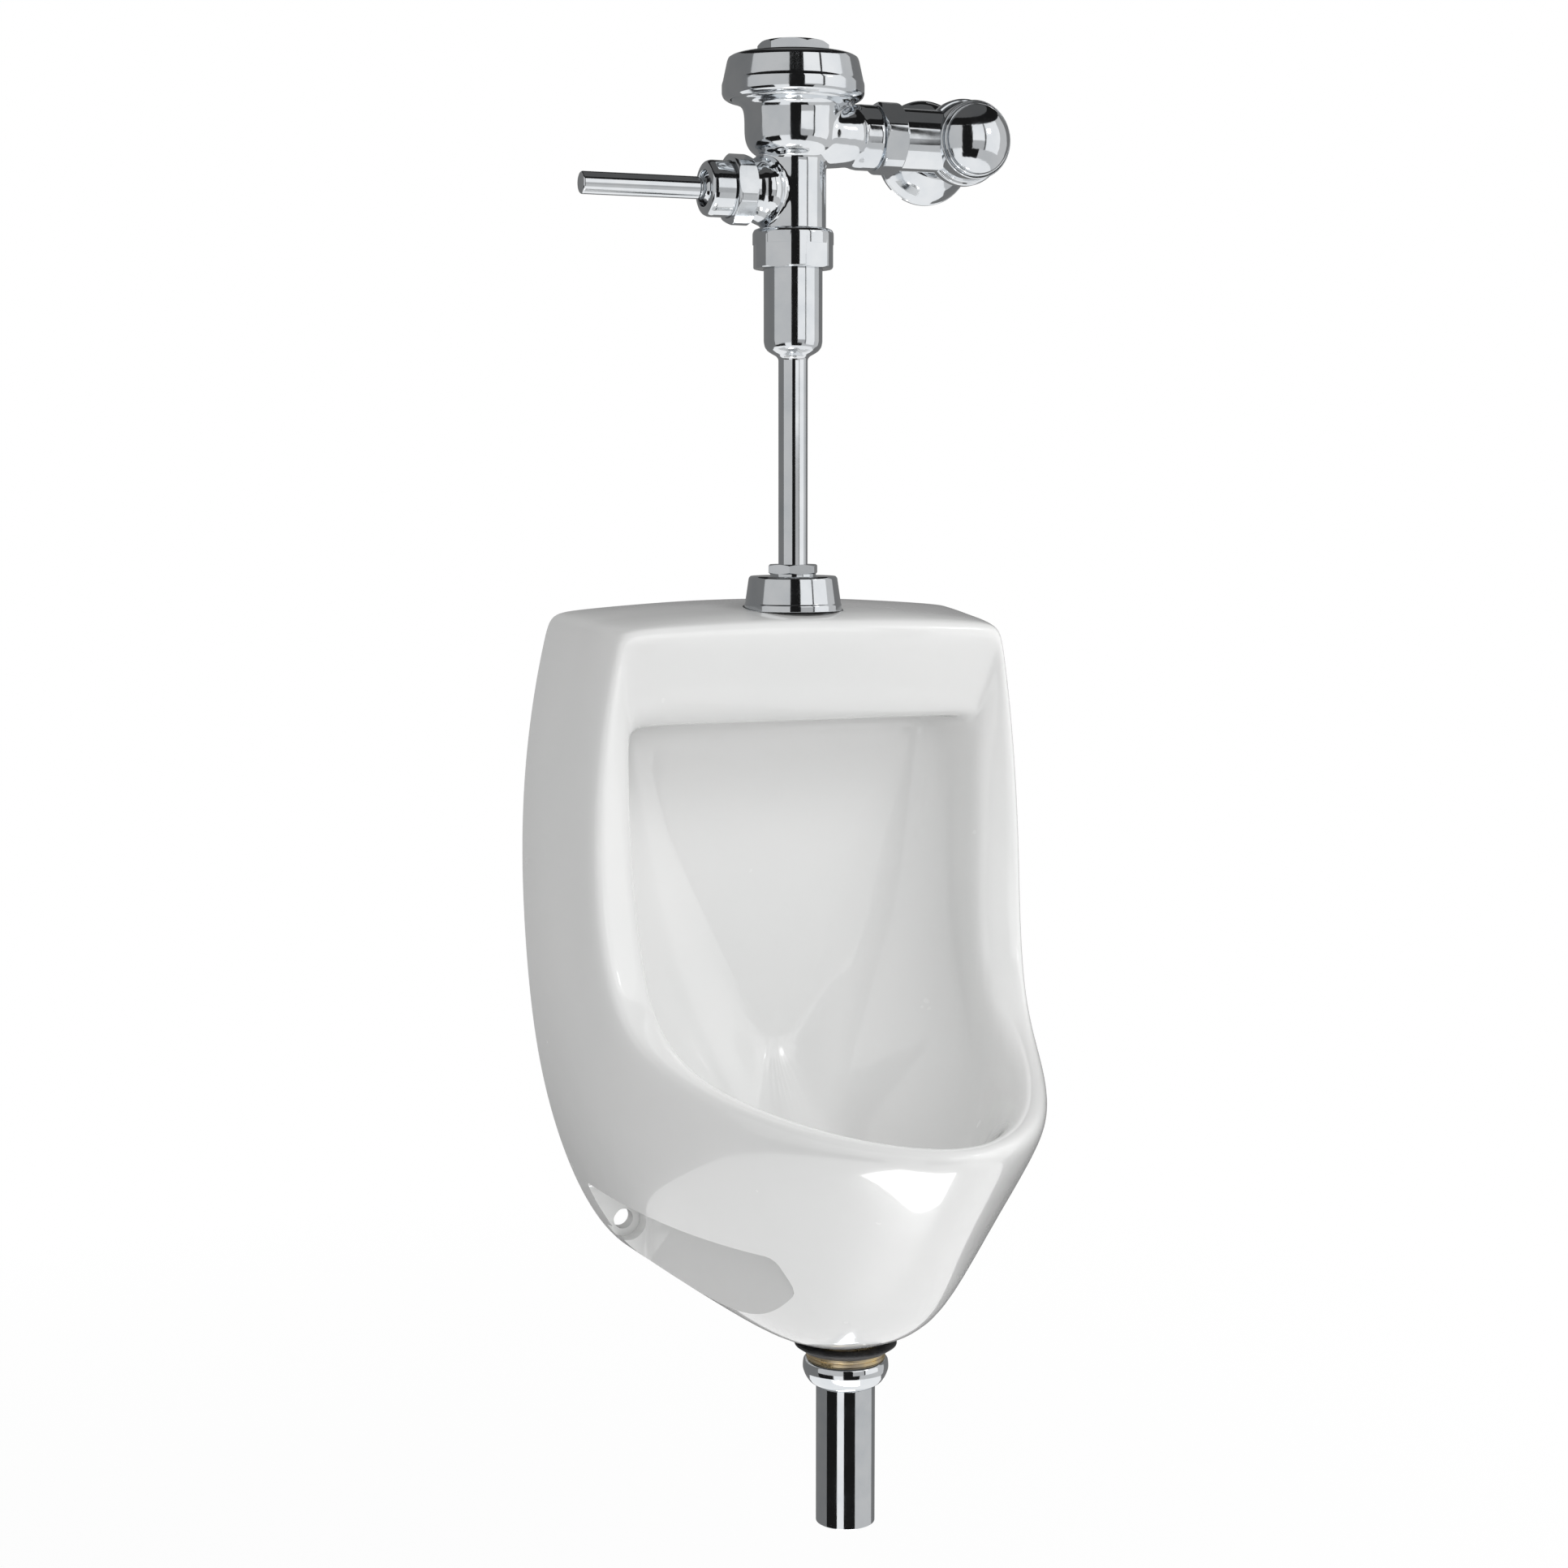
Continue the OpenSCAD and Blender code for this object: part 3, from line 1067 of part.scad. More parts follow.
module outlet_gasket() {
    color(rubber_col) on_outlet()
        turned([[outlet_r + seat_gap, gasket_drop], [gasket_r, gasket_drop], [gasket_r, gasket_drop + 1],
            [locknut_r + 1.6, gasket_drop + gasket_h - seat_gap], [outlet_r + seat_gap, gasket_drop + gasket_h - seat_gap]]);
}
module outlet_locknut() {
    color(brass_col) on_outlet()
        ring(outlet_r + seat_gap, locknut_r, locknut_drop, locknut_drop + locknut_h);
}
module slip_washer() {
    low = outlet_low + seat_gap;
    color(rubber_col) on_outlet() ring(drawn_r + 0.1, outlet_r - 0.4, low, low + 3.2);
}
module slip_collar() {
    low = outlet_low + 3.2 + 2 * seat_gap;
    end = collar_drop + collar_h;
    color(chrome_col) on_outlet()
        turned([[outlet_r + seat_gap, collar_drop], [collar_r - 1.8, collar_drop], [collar_r - 0.4, collar_drop + 1.4],
            [collar_r, collar_drop + 4], [collar_r, collar_drop + 7], [collar_r - 1.4, end - 5.5],
            [tail_r + 4.6, end - 1.6], [tail_r + 2, end], [tail_r + slip, end], [tail_r + slip, low],
            [outlet_r + seat_gap, low]]);
}
module tailpiece() {
    top = outlet_drop + 2;
    bare = collar_drop + collar_h + tail_clear;
    in_r = tail_r - tail_wall;
    color(chrome_col) on_outlet()
        turned([[in_r, top], [drawn_r, top], [drawn_r, bare], [tail_r, bare],
            [tail_r, tail_end], [in_r, tail_end]]);
}

china_body();
wall_hanger_left();
wall_hanger_right();
spud_body();
spud_washer();
spud_sleeve();
spud_expansion_nut();
spud_flange();
spud_gasket();
friction_ring();
spud_coupling_nut();
flush_tube();
breaker_sack();
breaker_insert();
breaker_gasket();
flush_coupling_nut();
valve_body();
outside_cover();
inside_cover();
diaphragm();
diaphragm_disc();
guide();
relief_valve();
handle_gasket();
handle_bushing();
handle_seal();
plunger();
handle_spring();
handle_lever();
handle_socket();
handle_coupling_nut();
stop_tailpiece();
tailpiece_oring();
locking_ring();
stop_coupling_nut();
stop_body();
stop_piston();
stop_spring();
stop_bonnet();
bonnet_oring();
stop_screw();
cap_sleeve();
stop_cap();
supply_adapter();
cover_tube();
wall_flange();
flange_setscrew();
bowl_strainer();
strainer_screw();
outlet_spud();
outlet_gasket();
outlet_locknut();
slip_washer();
slip_collar();
tailpiece();
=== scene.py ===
import math
import bmesh
import bpy
from mathutils import Matrix, Vector
from mathutils.bvhtree import BVHTree


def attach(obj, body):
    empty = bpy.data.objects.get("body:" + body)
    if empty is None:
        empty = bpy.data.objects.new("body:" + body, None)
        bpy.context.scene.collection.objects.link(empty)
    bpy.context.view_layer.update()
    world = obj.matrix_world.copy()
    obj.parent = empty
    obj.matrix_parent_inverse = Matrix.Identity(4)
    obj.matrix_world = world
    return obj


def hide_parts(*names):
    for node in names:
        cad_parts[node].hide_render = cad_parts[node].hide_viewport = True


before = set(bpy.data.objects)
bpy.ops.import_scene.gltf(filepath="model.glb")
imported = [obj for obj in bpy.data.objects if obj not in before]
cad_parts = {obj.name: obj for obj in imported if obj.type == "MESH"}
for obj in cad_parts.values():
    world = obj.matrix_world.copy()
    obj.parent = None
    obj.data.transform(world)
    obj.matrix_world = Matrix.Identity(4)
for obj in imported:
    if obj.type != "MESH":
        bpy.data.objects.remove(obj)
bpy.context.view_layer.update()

# Camera: it stands to the left of the fixture and a little above the china, and looks slightly down.
# Its place was worked out from the plumb valve, the tailpiece and the outline of the china.
lens = bpy.data.cameras.new("camera")
lens.lens = 36 * 3300 / 1932
lens.clip_start = 0.05
lens.clip_end = 60
camera = bpy.data.objects.new("camera", lens)
camera.location = (-0.6812, -1.6812, 0.4867)
camera.rotation_euler = (math.radians(83.8), 0, math.radians(-22.6))
bpy.context.scene.collection.objects.link(camera)
bpy.context.scene.camera = camera
bpy.context.scene.view_settings.view_transform = "Standard"


# Studio: a white room with soft panels, the dark gaps between them that polished metal picks up,
# and a pale floor under the fixture, which hangs at its usual height.
class Wire:
    """The output of a shader node; arithmetic on it adds Math nodes."""

    def __init__(self, finish, socket):
        self.finish = finish
        self.socket = socket

    def __getitem__(self, output):
        return Wire(self.finish, self.socket.node.outputs[output])

    def sum_of(self, operation, a, b):
        return self.finish.node("ShaderNodeMath", {"operation": operation}, {0: a, 1: b})

    def __add__(self, other):
        return self.sum_of("ADD", self, other)

    def __radd__(self, other):
        return self.sum_of("ADD", other, self)

    def __sub__(self, other):
        return self.sum_of("SUBTRACT", self, other)

    def __rsub__(self, other):
        return self.sum_of("SUBTRACT", other, self)

    def __mul__(self, other):
        return self.sum_of("MULTIPLY", self, other)

    def __rmul__(self, other):
        return self.sum_of("MULTIPLY", other, self)

    def __gt__(self, other):
        return self.sum_of("GREATER_THAN", self, other)

    def __lt__(self, other):
        return self.sum_of("LESS_THAN", self, other)


class Finish:
    """The nodes of one material, lamp room or floor."""

    def __init__(self, owner):
        owner.use_nodes = True
        self.owner = owner
        self.tree = owner.node_tree
        self.tree.nodes.clear()

    def node(self, kind, settings, inputs):
        made = self.tree.nodes.new(kind)
        for name, value in settings.items():
            if name == "stops":
                ramp = made.color_ramp
                while len(ramp.elements) < len(value):
                    ramp.elements.new(1)
                for element, (place, colour) in zip(ramp.elements, value):
                    element.position = place
                    element.color = (*colour, 1) if isinstance(colour, tuple) else (colour, colour, colour, 1)
            else:
                setattr(made, name, value)
        for name, value in inputs.items():
            if isinstance(value, Wire):
                self.tree.links.new(value.socket, made.inputs[name])
            elif made.inputs[name].type == "RGBA":
                made.inputs[name].default_value = (*value, 1)
            else:
                made.inputs[name].default_value = value
        return Wire(self, made.outputs[0]) if made.outputs else None

    def between(self, factor, a, b):
        """A colour between two colours."""
        return self.node("ShaderNodeMix", {"data_type": "RGBA"}, {0: factor, 6: a, 7: b})[2]


room = Finish(bpy.data.worlds.new("studio"))
bpy.context.scene.world = room.owner
backdrop = room.node("ShaderNodeBackground", {}, {"Color": (1, 1, 1), "Strength": 1.0})
glow = room.node("ShaderNodeBackground", {}, {"Color": (1, 1, 1), "Strength": 0.62})
ray = room.node("ShaderNodeLightPath", {}, {})
seen = room.node("ShaderNodeMath", {"operation": "MAXIMUM"}, {0: ray["Is Camera Ray"], 1: ray["Is Transmission Ray"]})
seen = room.node("ShaderNodeMath", {"operation": "MAXIMUM"}, {0: seen, 1: ray["Is Glossy Ray"]})
room.node("ShaderNodeOutputWorld", {}, {"Surface": room.node("ShaderNodeMixShader", {}, {0: seen, 1: glow, 2: backdrop})})


def flag(name, bearing, height, tone):
    """A curved grey or black card far round the fixture that only polished surfaces show.

    The bearing is 0 in front of the fixture and grows towards its right; the height is 90 overhead."""
    sheet = bmesh.new()
    bmesh.ops.create_grid(sheet, x_segments=36, y_segments=8, size=1)
    for vert in sheet.verts:
        turn = math.radians(bearing[0] + (bearing[1] - bearing[0]) * (vert.co.x + 1) / 2)
        rise = math.radians(height[0] + (height[1] - height[0]) * (vert.co.y + 1) / 2)
        vert.co = 6 * Vector((math.sin(turn) * math.cos(rise), -math.cos(turn) * math.cos(rise), math.sin(rise)))
    mesh = bpy.data.meshes.new(name)
    sheet.to_mesh(mesh)
    sheet.free()
    made = bpy.data.objects.new(name, mesh)
    bpy.context.scene.collection.objects.link(made)
    grey = Finish(bpy.data.materials.new(name))
    grey.node("ShaderNodeOutputMaterial", {}, {
        "Surface": grey.node("ShaderNodeEmission", {}, {"Color": (tone, tone, tone), "Strength": 1.0})})
    mesh.materials.append(grey.owner)
    made.visible_camera = False
    made.visible_diffuse = False
    made.visible_transmission = False
    made.visible_shadow = False


black = 0.012
flag("rear_wall", (98, 260), (-35, 40), 0.2)
flag("left_wall", (-100, -29), (-13, 40), 0.6)
flag("front_gap", (-29, -4), (-13, 40), black)
flag("front_board", (-4, 26), (-13, 6), 0.5)
flag("front_post", (26, 29.5), (-13, 40), black)
flag("right_wall", (70, 98), (-35, 40), 0.6)
flag("low_left", (-100, -55), (-35, -13), black)
flag("low_front", (-29, 14), (-35, -13), black)
flag("low_right", (14, 70), (-35, -13), 0.6)
flag("upper_gap", (-180, 180), (40, 57), black)
flag("ceiling", (-180, 180), (57, 89.9), 0.1)


def softbox(name, place, target, width, height, watts):
    light = bpy.data.lights.new(name, "AREA")
    light.shape = "RECTANGLE"
    light.size = width
    light.size_y = height
    light.energy = watts
    lamp = bpy.data.objects.new(name, light)
    lamp.location = place
    lamp.rotation_euler = (Vector(target) - Vector(place)).to_track_quat("-Z", "Y").to_euler()
    bpy.context.scene.collection.objects.link(lamp)
    return lamp


softbox("key_panel", (1.5, -1.65, 2.32), (0, -0.15, 0.2), 1.2, 1.2, 28).visible_glossy = False
softbox("front_panel", (-0.41, -3.07, 0.72), (0, -0.15, 0.2), 1.2, 1.2, 15.5).visible_glossy = False
softbox("side_panel", (2.72, 0.84, 0.98), (0, -0.15, 0.2), 1.2, 1.2, 30).visible_glossy = False
softbox("window", (1.6, -2.0, 1.55), (0, -0.25, 0.1), 0.35, 0.35, 2)

floor_z = -0.505
# A bright card lying before the fixture shows in the glaze under the lip as a white corner
card = softbox("card", (-0.12, -0.41, floor_z + 0.004), (-0.12, -0.41, 1), 0.52, 0.24, 2.2)
card.visible_diffuse = False
card.visible_camera = False
slab = bmesh.new()
bmesh.ops.create_grid(slab, x_segments=1, y_segments=1, size=24, matrix=Matrix.Translation((0, 0, floor_z)))
floor_mesh = bpy.data.meshes.new("floor")
slab.to_mesh(floor_mesh)
floor = bpy.data.objects.new("floor", floor_mesh)
bpy.context.scene.collection.objects.link(floor)
floor.visible_glossy = False
ground = Finish(bpy.data.materials.new("floor"))
spot = ground.node("ShaderNodeTexCoord", {}, {})["Object"]
reach = ground.node("ShaderNodeVectorMath", {"operation": "LENGTH"}, {0: spot})["Value"]
far = ground.node("ShaderNodeMapRange", {}, {"Value": reach, "From Min": 0.6, "From Max": 2.0})
view_ray = ground.node("ShaderNodeLightPath", {}, {})["Is Camera Ray"]
matt = ground.node("ShaderNodeBsdfPrincipled", {}, {"Base Color": (0.86, 0.86, 0.86), "Roughness": 0.9})
plain = ground.node("ShaderNodeEmission", {}, {"Color": (1, 1, 1), "Strength": 1.0})
ground.node("ShaderNodeOutputMaterial", {}, {
    "Surface": ground.node("ShaderNodeMixShader", {}, {0: view_ray * (0.90 + 0.10 * far), 1: matt, 2: plain})})
floor_mesh.materials.append(ground.owner)


# China: one hollow casting of white vitreous china, slip cast in a plaster mould, glazed and fired.
# It runs from the flat back over a broad rim into the bowl. Ground flats take the spud and the outlet,
# and under each side a hollow gives room for the anchor bolt in its lug.
mm = 0.001
seat_z = 410
# Loops of a net, from the wall edge over the rim to the back of the bowl. A point is
# [half width, depth from the wall, drop below the spud seat], from the top centre down the right side.
net = [
    [[0, 0, -6], [50, 0, -5.5], [100, 0, -2.5], [133, 0, 0], [147, 0, 2.5], [151, 0, 16], [159, 0, 52],
     [166.5, 0, 105], [169, 0, 165], [166, 0, 235], [159, 0, 298], [145, 0, 354], [124, 0, 404],
     [94, 0, 440], [45, 0, 452], [0, 0, 452]],
    [[0, 26, -5.2], [50, 26, -4.5], [100, 25, -1.5], [131, 25, 1.2], [144, 24, 4.5], [148, 23, 18], [156, 21, 53],
     [163.5, 20, 105], [166.5, 19, 163], [164, 20, 230], [158, 24, 292], [144, 38, 356], [118, 62, 408],
     [80, 94, 444], [43, 107, 466], [0, 110, 472]],
    [[0, 52, -3], [50, 52, -2.5], [99.5, 51, 0.5], [129, 50, 3.5], [141, 49, 7], [145, 48, 21], [152.5, 44, 56],
     [159.5, 41, 105], [162.5, 40, 162], [160.5, 43, 225], [156, 55, 285], [140, 92, 352], [108, 138, 394],
     [67, 172, 440], [41, 190, 466], [0, 192, 472]],
    [[0, 76, -0.6], [50, 76, -0.2], [99, 75, 2.5], [127, 74, 5.5], [138.5, 73, 9], [142, 72, 23], [149, 66, 58],
     [155.5, 62, 105], [158, 62, 161], [156, 66, 220], [152, 82, 276], [135, 135, 332], [105, 190, 358],
     [66, 222, 382], [30, 244, 399], [0, 250, 403]],
    [[0, 94, 2.6], [50, 94, 3], [98, 93, 5], [124, 92, 7.5], [135, 91, 11], [138.5, 90, 25], [145.5, 86, 60],
     [151, 84, 106], [153.5, 85, 160], [152, 91, 216], [147, 110, 266], [129, 170, 302], [103, 228, 315],
     [70, 276, 322], [30, 308, 327], [0, 317, 328]],
    [[0, 107, 6.5], [50, 107, 7], [96, 105.5, 8.5], [121, 104, 9.5], [132, 103, 13], [135.5, 101.5, 27], [142, 99, 62],
     [147.5, 97.5, 108], [150, 99.5, 160], [148, 106, 214], [141, 127, 261], [125, 179, 284], [100, 237, 296],
     [69, 288, 303], [30, 322, 306], [0, 332, 306]],
    [[0, 99, 34], [50, 99, 34], [96, 98, 34], [118, 96, 34], [128, 94.5, 37], [130, 93.5, 49], [133.5, 93, 79],
     [136, 92.5, 115], [137, 95, 164], [134, 102, 218], [131, 121, 256], [119, 172, 278], [95, 229, 290],
     [64, 281, 297], [28, 315, 300], [0, 325, 300]],
    [[0, 87, 70], [50, 87, 70], [95, 86.5, 70], [113, 86.5, 70], [122.5, 86, 71.5], [123, 86, 80], [123, 86.5, 98],
     [122.5, 87, 125], [121.5, 90, 168], [118, 98, 222], [118, 117, 256], [110, 168, 280], [88, 222, 291],
     [58, 272, 298], [25, 305, 301], [0, 315, 301]],
    [[0, 76, 71], [50, 76, 71], [94, 76, 71], [110, 76, 71.5], [118.5, 76, 74], [120.5, 76, 83], [121, 76, 100],
     [120.5, 76, 126], [119.5, 78, 169], [116, 87, 224], [114, 108, 260], [104, 157, 290], [81, 208, 306],
     [52, 256, 314], [22, 290, 318], [0, 299, 318]],
    [[0, 56, 71], [50, 56, 71], [93, 56, 71], [107, 57, 72], [114, 57, 76], [117, 57, 87], [117.5, 57, 104],
     [117.5, 57, 129], [116, 59, 174], [114, 68, 232], [113, 98, 270], [101, 148, 308], [78, 192, 334],
     [49, 228, 350], [20, 254, 358], [0, 260, 360]],
    [[0, 38, 72], [50, 38, 72], [92, 38, 72], [104, 39, 74], [110, 40, 80], [112, 41, 94], [113.5, 42, 114],
     [114, 45, 140], [113, 52, 190], [112, 64, 244], [110, 92, 290], [92, 134, 338], [67, 168, 368],
     [42, 196, 388], [18, 212, 398], [0, 216, 400]],
    [[0, 29, 80], [50, 29, 80], [88, 29, 80], [98, 30, 82], [101, 30, 88], [100, 30, 102], [95, 30, 124],
     [88, 31, 155], [79, 33, 205], [67, 37, 262], [51, 50, 318], [36, 72, 362], [27, 100, 394],
     [19, 124, 413], [8, 136, 421], [0, 140, 423]],
    [[0, 28, 130], [30, 28, 132], [54, 28, 136], [62, 28, 142], [65, 28, 150], [65, 28, 160], [63, 28, 175],
     [59, 29, 195], [53, 30, 228], [45, 34, 265], [35, 43, 302], [25, 55, 332], [17, 67, 350],
     [11, 76, 360], [5, 81, 364], [0, 82, 365]],
    [[12 * math.sin(math.pi * i / 15), 29, 290 - 12 * math.cos(math.pi * i / 15)] for i in range(16)]]


def blank(name, shape):
    """An object holding a finished bmesh."""
    mesh = bpy.data.meshes.new(name)
    shape.to_mesh(mesh)
    shape.free()
    made = bpy.data.objects.new(name, mesh)
    bpy.context.scene.collection.objects.link(made)
    return made


def bake(piece):
    """Puts what the modifiers make into the mesh."""
    bpy.context.view_layer.update()
    done = bpy.data.meshes.new_from_object(piece.evaluated_get(bpy.context.evaluated_depsgraph_get()))
    piece.modifiers.clear()
    old = piece.data
    piece.data = done
    bpy.data.meshes.remove(old)


def carve(piece, operation, *tools):
    """Cuts a piece with the tools, or joins or crosses it with them, and throws the tools away."""
    for tool in tools:
        step = piece.modifiers.new("cut", "BOOLEAN")
        step.operation = operation
        step.solver = "EXACT"
        step.object = tool
    bake(piece)
    for tool in tools:
        bpy.data.objects.remove(tool)


def bar(name, sides, radius, start, end, place):
    """A round or six-sided bar along +Z of its place, in mm."""
    shape = bmesh.new()
    bmesh.ops.create_cone(shape, cap_ends=True, segments=sides, radius1=radius, radius2=radius, depth=end - start)
    bmesh.ops.translate(shape, verts=shape.verts, vec=(0, 0, (start + end) / 2))
    shape.transform(place)
    return blank(name, shape)


def box_tool(name, low, high):
    shape = bmesh.new()
    bmesh.ops.create_cube(shape, size=1)
    bmesh.ops.translate(shape, verts=shape.verts, vec=(0.5, 0.5, 0.5))
    bmesh.ops.scale(shape, verts=shape.verts, vec=Vector(high) - Vector(low))
    bmesh.ops.translate(shape, verts=shape.verts, vec=Vector(low))
    shape.transform(Matrix.Scale(mm, 4))
    return blank(name, shape)


on_valve = Matrix.Translation((0, -0.060, 0.410)) @ Matrix.Scale(mm, 4)
on_outlet = Matrix.Translation((0, -0.148, 0.410)) @ Matrix.Rotation(math.pi, 4, "X") @ Matrix.Scale(mm, 4)

cage = bmesh.new()
crease = cage.edges.layers.float.new("crease_edge")
bmesh.ops.create_circle(cage, segments=30, radius=1)
ring = list(cage.verts)
back_ring = set(ring)
for loop in net:
    if loop is not net[0]:
        edges = [e for e in cage.edges if e.verts[0] in ring and e.verts[1] in ring]
        fresh = {v for v in bmesh.ops.extrude_edge_only(cage, edges=edges)["geom"] if isinstance(v, bmesh.types.BMVert)}
        ring = [next(e.other_vert(v) for e in v.link_edges if e.other_vert(v) in fresh) for v in ring]
    whole = loop + [[-w, depth, drop] for w, depth, drop in loop[-2:0:-1]]
    for vert, (wide, depth, drop) in zip(ring, whole):
        vert.co = Vector((wide, -depth, seat_z - drop)) * mm
    if loop is net[0]:
        bmesh.ops.contextual_create(cage, geom=cage.edges[:])
bmesh.ops.contextual_create(cage, geom=[e for e in cage.edges if e.verts[0] in ring and e.verts[1] in ring])
# Only the edge on the wall is sharp
for edge in cage.edges:
    edge[crease] = 1 if set(edge.verts) <= back_ring else 0
bmesh.ops.recalc_face_normals(cage, faces=cage.faces)
china = blank("china", cage)
smooth = china.modifiers.new("smooth", "SUBSURF")
smooth.levels = 3
smooth.render_levels = 3
bake(china)

tools = []
for side in (-1, 1):
    # The hollow in front of the lug
    room_plan = bmesh.new()
    plan = [(89, 22), (190, 22), (190, 205), (58, 205)]
    foot = room_plan.faces.new([room_plan.verts.new((side * x, -depth, seat_z - 520)) for x, depth in plan])
    top = bmesh.ops.extrude_face_region(room_plan, geom=[foot])["geom"]
    for vert in (v for v in top if isinstance(v, bmesh.types.BMVert)):
        vert.co.z = seat_z - 378.5 - 0.055 * (-vert.co.y - 22)
    bmesh.ops.recalc_face_normals(room_plan, faces=room_plan.faces)
    bmesh.ops.bevel(room_plan, geom=room_plan.edges[:], offset=5, affect="EDGES", segments=3, profile=0.5, material=-1)
    room_plan.transform(Matrix.Scale(mm, 4))
    tools.append(blank("hollow", room_plan))
    lug = Matrix.Translation((side * 0.103, 0, 0)) @ Matrix.Rotation(math.pi / 2, 4, "X") @ Matrix.Scale(mm, 4)
    tools.append(bar("bolt_hole", 48, 6.8, -2, 30, lug))
    tools.append(bar("counterbore", 64, 11.8, 10, 46, lug))
    pocket = box_tool("pocket", (side * 92 - 25, -12.6, 266), (side * 92 + 25, 2, 320))
    carve(pocket, "DIFFERENCE", box_tool("hook_bar", (side * 92 - 60, -7.3, 300.2), (side * 92 + 60, -3.3, 330)))
    tools.append(pocket)
tools += [
    bar("spud_flat", 96, 33, 0, 20, on_valve), bar("spud_hole", 64, 16.4, -42, 10, on_valve),
    bar("sump", 96, 34, 404, 426, on_outlet), bar("outlet_bore", 96, 22.8, 425, 505, on_outlet),
    bar("outlet_flat", 96, 34.5, 466, 520, on_outlet)]
for i in range(11):
    at = on_valve @ Matrix.Translation((-82 + 16.4 * i, 0, -82))
    tools.append(bar("rim_hole", 16, 2.2, 0, 36, at))
skins = [BVHTree.FromPolygons([v.co[:] for v in tool.data.vertices], [face.vertices[:] for face in tool.data.polygons])
         for tool in tools]
carve(china, "DIFFERENCE", *tools)
# The shading breaks where a cut meets the skin, and in the corners of the bores
cut = bmesh.new()
cut.from_mesh(china.data)
carved = {face for face in cut.faces if any(skin.find_nearest(face.calc_center_median(), 0.00002)[0] for skin in skins)}
for edge in cut.edges:
    sides = [face in carved for face in edge.link_faces]
    if len(sides) == 2:
        limit = 8 if sides[0] != sides[1] else 48
        edge.smooth = edge.calc_face_angle(0) < math.radians(limit)
cut.to_mesh(china.data)
cut.free()


def finished(piece, finish, body, slot, *nodes, edge=0.0, angle=32):
    """Rounds the sharp edges, shades the piece smooth, gives it its finish and body, and hides the CAD nodes it stands
    in for.
    """
    for face in piece.data.polygons:
        face.use_smooth = True
    if edge:
        soft = piece.modifiers.new("soft_edges", "BEVEL")
        soft.width = edge * mm
        soft.segments = 3
        soft.limit_method = "ANGLE"
        soft.angle_limit = math.radians(angle)
        soft.harden_normals = False
    even = piece.modifiers.new("even", "WEIGHTED_NORMAL")
    even.keep_sharp = True
    bake(piece)
    piece.data.materials.clear()
    piece.data.materials.append(finish.owner)
    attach(piece, body)
    if nodes:
        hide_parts(*nodes)
    return piece


def surface(name):
    """A new finish, its place on the object, and a noise reader."""
    finish = Finish(bpy.data.materials.new(name))
    spot = finish.node("ShaderNodeTexCoord", {}, {})["Object"]

    def noise(scale, detail=3, rough=0.5):
        return finish.node("ShaderNodeTexNoise", {}, {
            "Vector": spot, "Scale": scale, "Detail": detail, "Roughness": rough})["Fac"]

    return finish, spot, noise


def shine(finish, inputs, bump=None, depth=0.0001):
    if bump is not None:
        inputs["Normal"] = finish.node("ShaderNodeBump", {}, {"Strength": 1.0, "Distance": depth, "Height": bump})
    skin = finish.node("ShaderNodeBsdfPrincipled", {}, inputs)
    finish.node("ShaderNodeOutputMaterial", {}, {"Surface": skin})
    return finish


glaze, spot, noise = surface("china_glaze")
cloud = glaze.node("ShaderNodeMapRange", {}, {"Value": noise(7, 2), "From Min": 0.35, "From Max": 0.65})
china_glaze = shine(glaze, {
    "Base Color": glaze.between(cloud, (0.805, 0.81, 0.805), (0.825, 0.825, 0.82)),
    "Roughness": 0.20 + 0.10 * noise(40), "Coat Weight": 1.0, "Coat Roughness": 0.04, "IOR": 1.5},
    bump=noise(26, 2, 0.4) + 0.06 * noise(420, 2), depth=0.00035)
finished(china, china_glaze, "fixture", "china", "china_body")


# Wall hangers: two stamped steel plates with upturned hooks, zinc plated, screwed to the wall carrier.
# The china hangs on them by a bar cast in each pocket.
zinc, spot, noise = surface("zinc_steel")
spangle = zinc.node("ShaderNodeTexVoronoi", {}, {"Vector": spot, "Scale": 260})["Color"]
zinc_steel = shine(zinc, {
    "Base Color": zinc.between(zinc.node("ShaderNodeSeparateXYZ", {}, {0: spangle})["X"], (0.50, 0.52, 0.54), (0.66, 0.67, 0.68)),
    "Metallic": 1.0, "Roughness": 0.32 + 0.16 * noise(90)}, bump=noise(500), depth=0.00006)


def coat_nodes(finish, *nodes):
    """Gives CAD nodes that are shown as they are their finish."""
    for node in nodes:
        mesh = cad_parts[node].data
        mesh.materials.clear()
        mesh.materials.append(finish.owner)


coat_nodes(zinc_steel, "wall_hanger_left", "wall_hanger_right")


# Top spud: a spun escutcheon over the spud, and the small coupling nut that clamps the flush tube in it.
# Both are chrome plated brass.
def turned(name, profile, place, rounding=0.5, steps=128, closed=False):
    """A turned piece from [radius, height] points in mm, its corners eased before it is spun."""
    shape = bmesh.new()
    corners = [shape.verts.new((max(radius, 0), 0, z)) for radius, z in profile]
    for a, b in zip(corners, corners[1:] + corners[:1]):
        if closed or a is not corners[-1]:
            shape.edges.new((a, b))
    for corner in corners:
        if corner.co.x > 0.01 and len(corner.link_edges) == 2:
            room_left = min(e.calc_length() for e in corner.link_edges)
            bmesh.ops.bevel(shape, geom=[corner], offset=min(rounding, 0.42 * room_left), affect="VERTICES",
                            segments=3, profile=0.5, material=-1)
    bmesh.ops.spin(shape, geom=shape.verts[:] + shape.edges[:], cent=(0, 0, 0), axis=(0, 0, 1), dvec=(0, 0, 0),
                   angle=math.tau, steps=steps, use_merge=True, use_duplicate=False)
    bmesh.ops.remove_doubles(shape, verts=shape.verts, dist=0.0005)
    bmesh.ops.recalc_face_normals(shape, faces=shape.faces)
    shape.transform(place)
    return blank(name, shape)


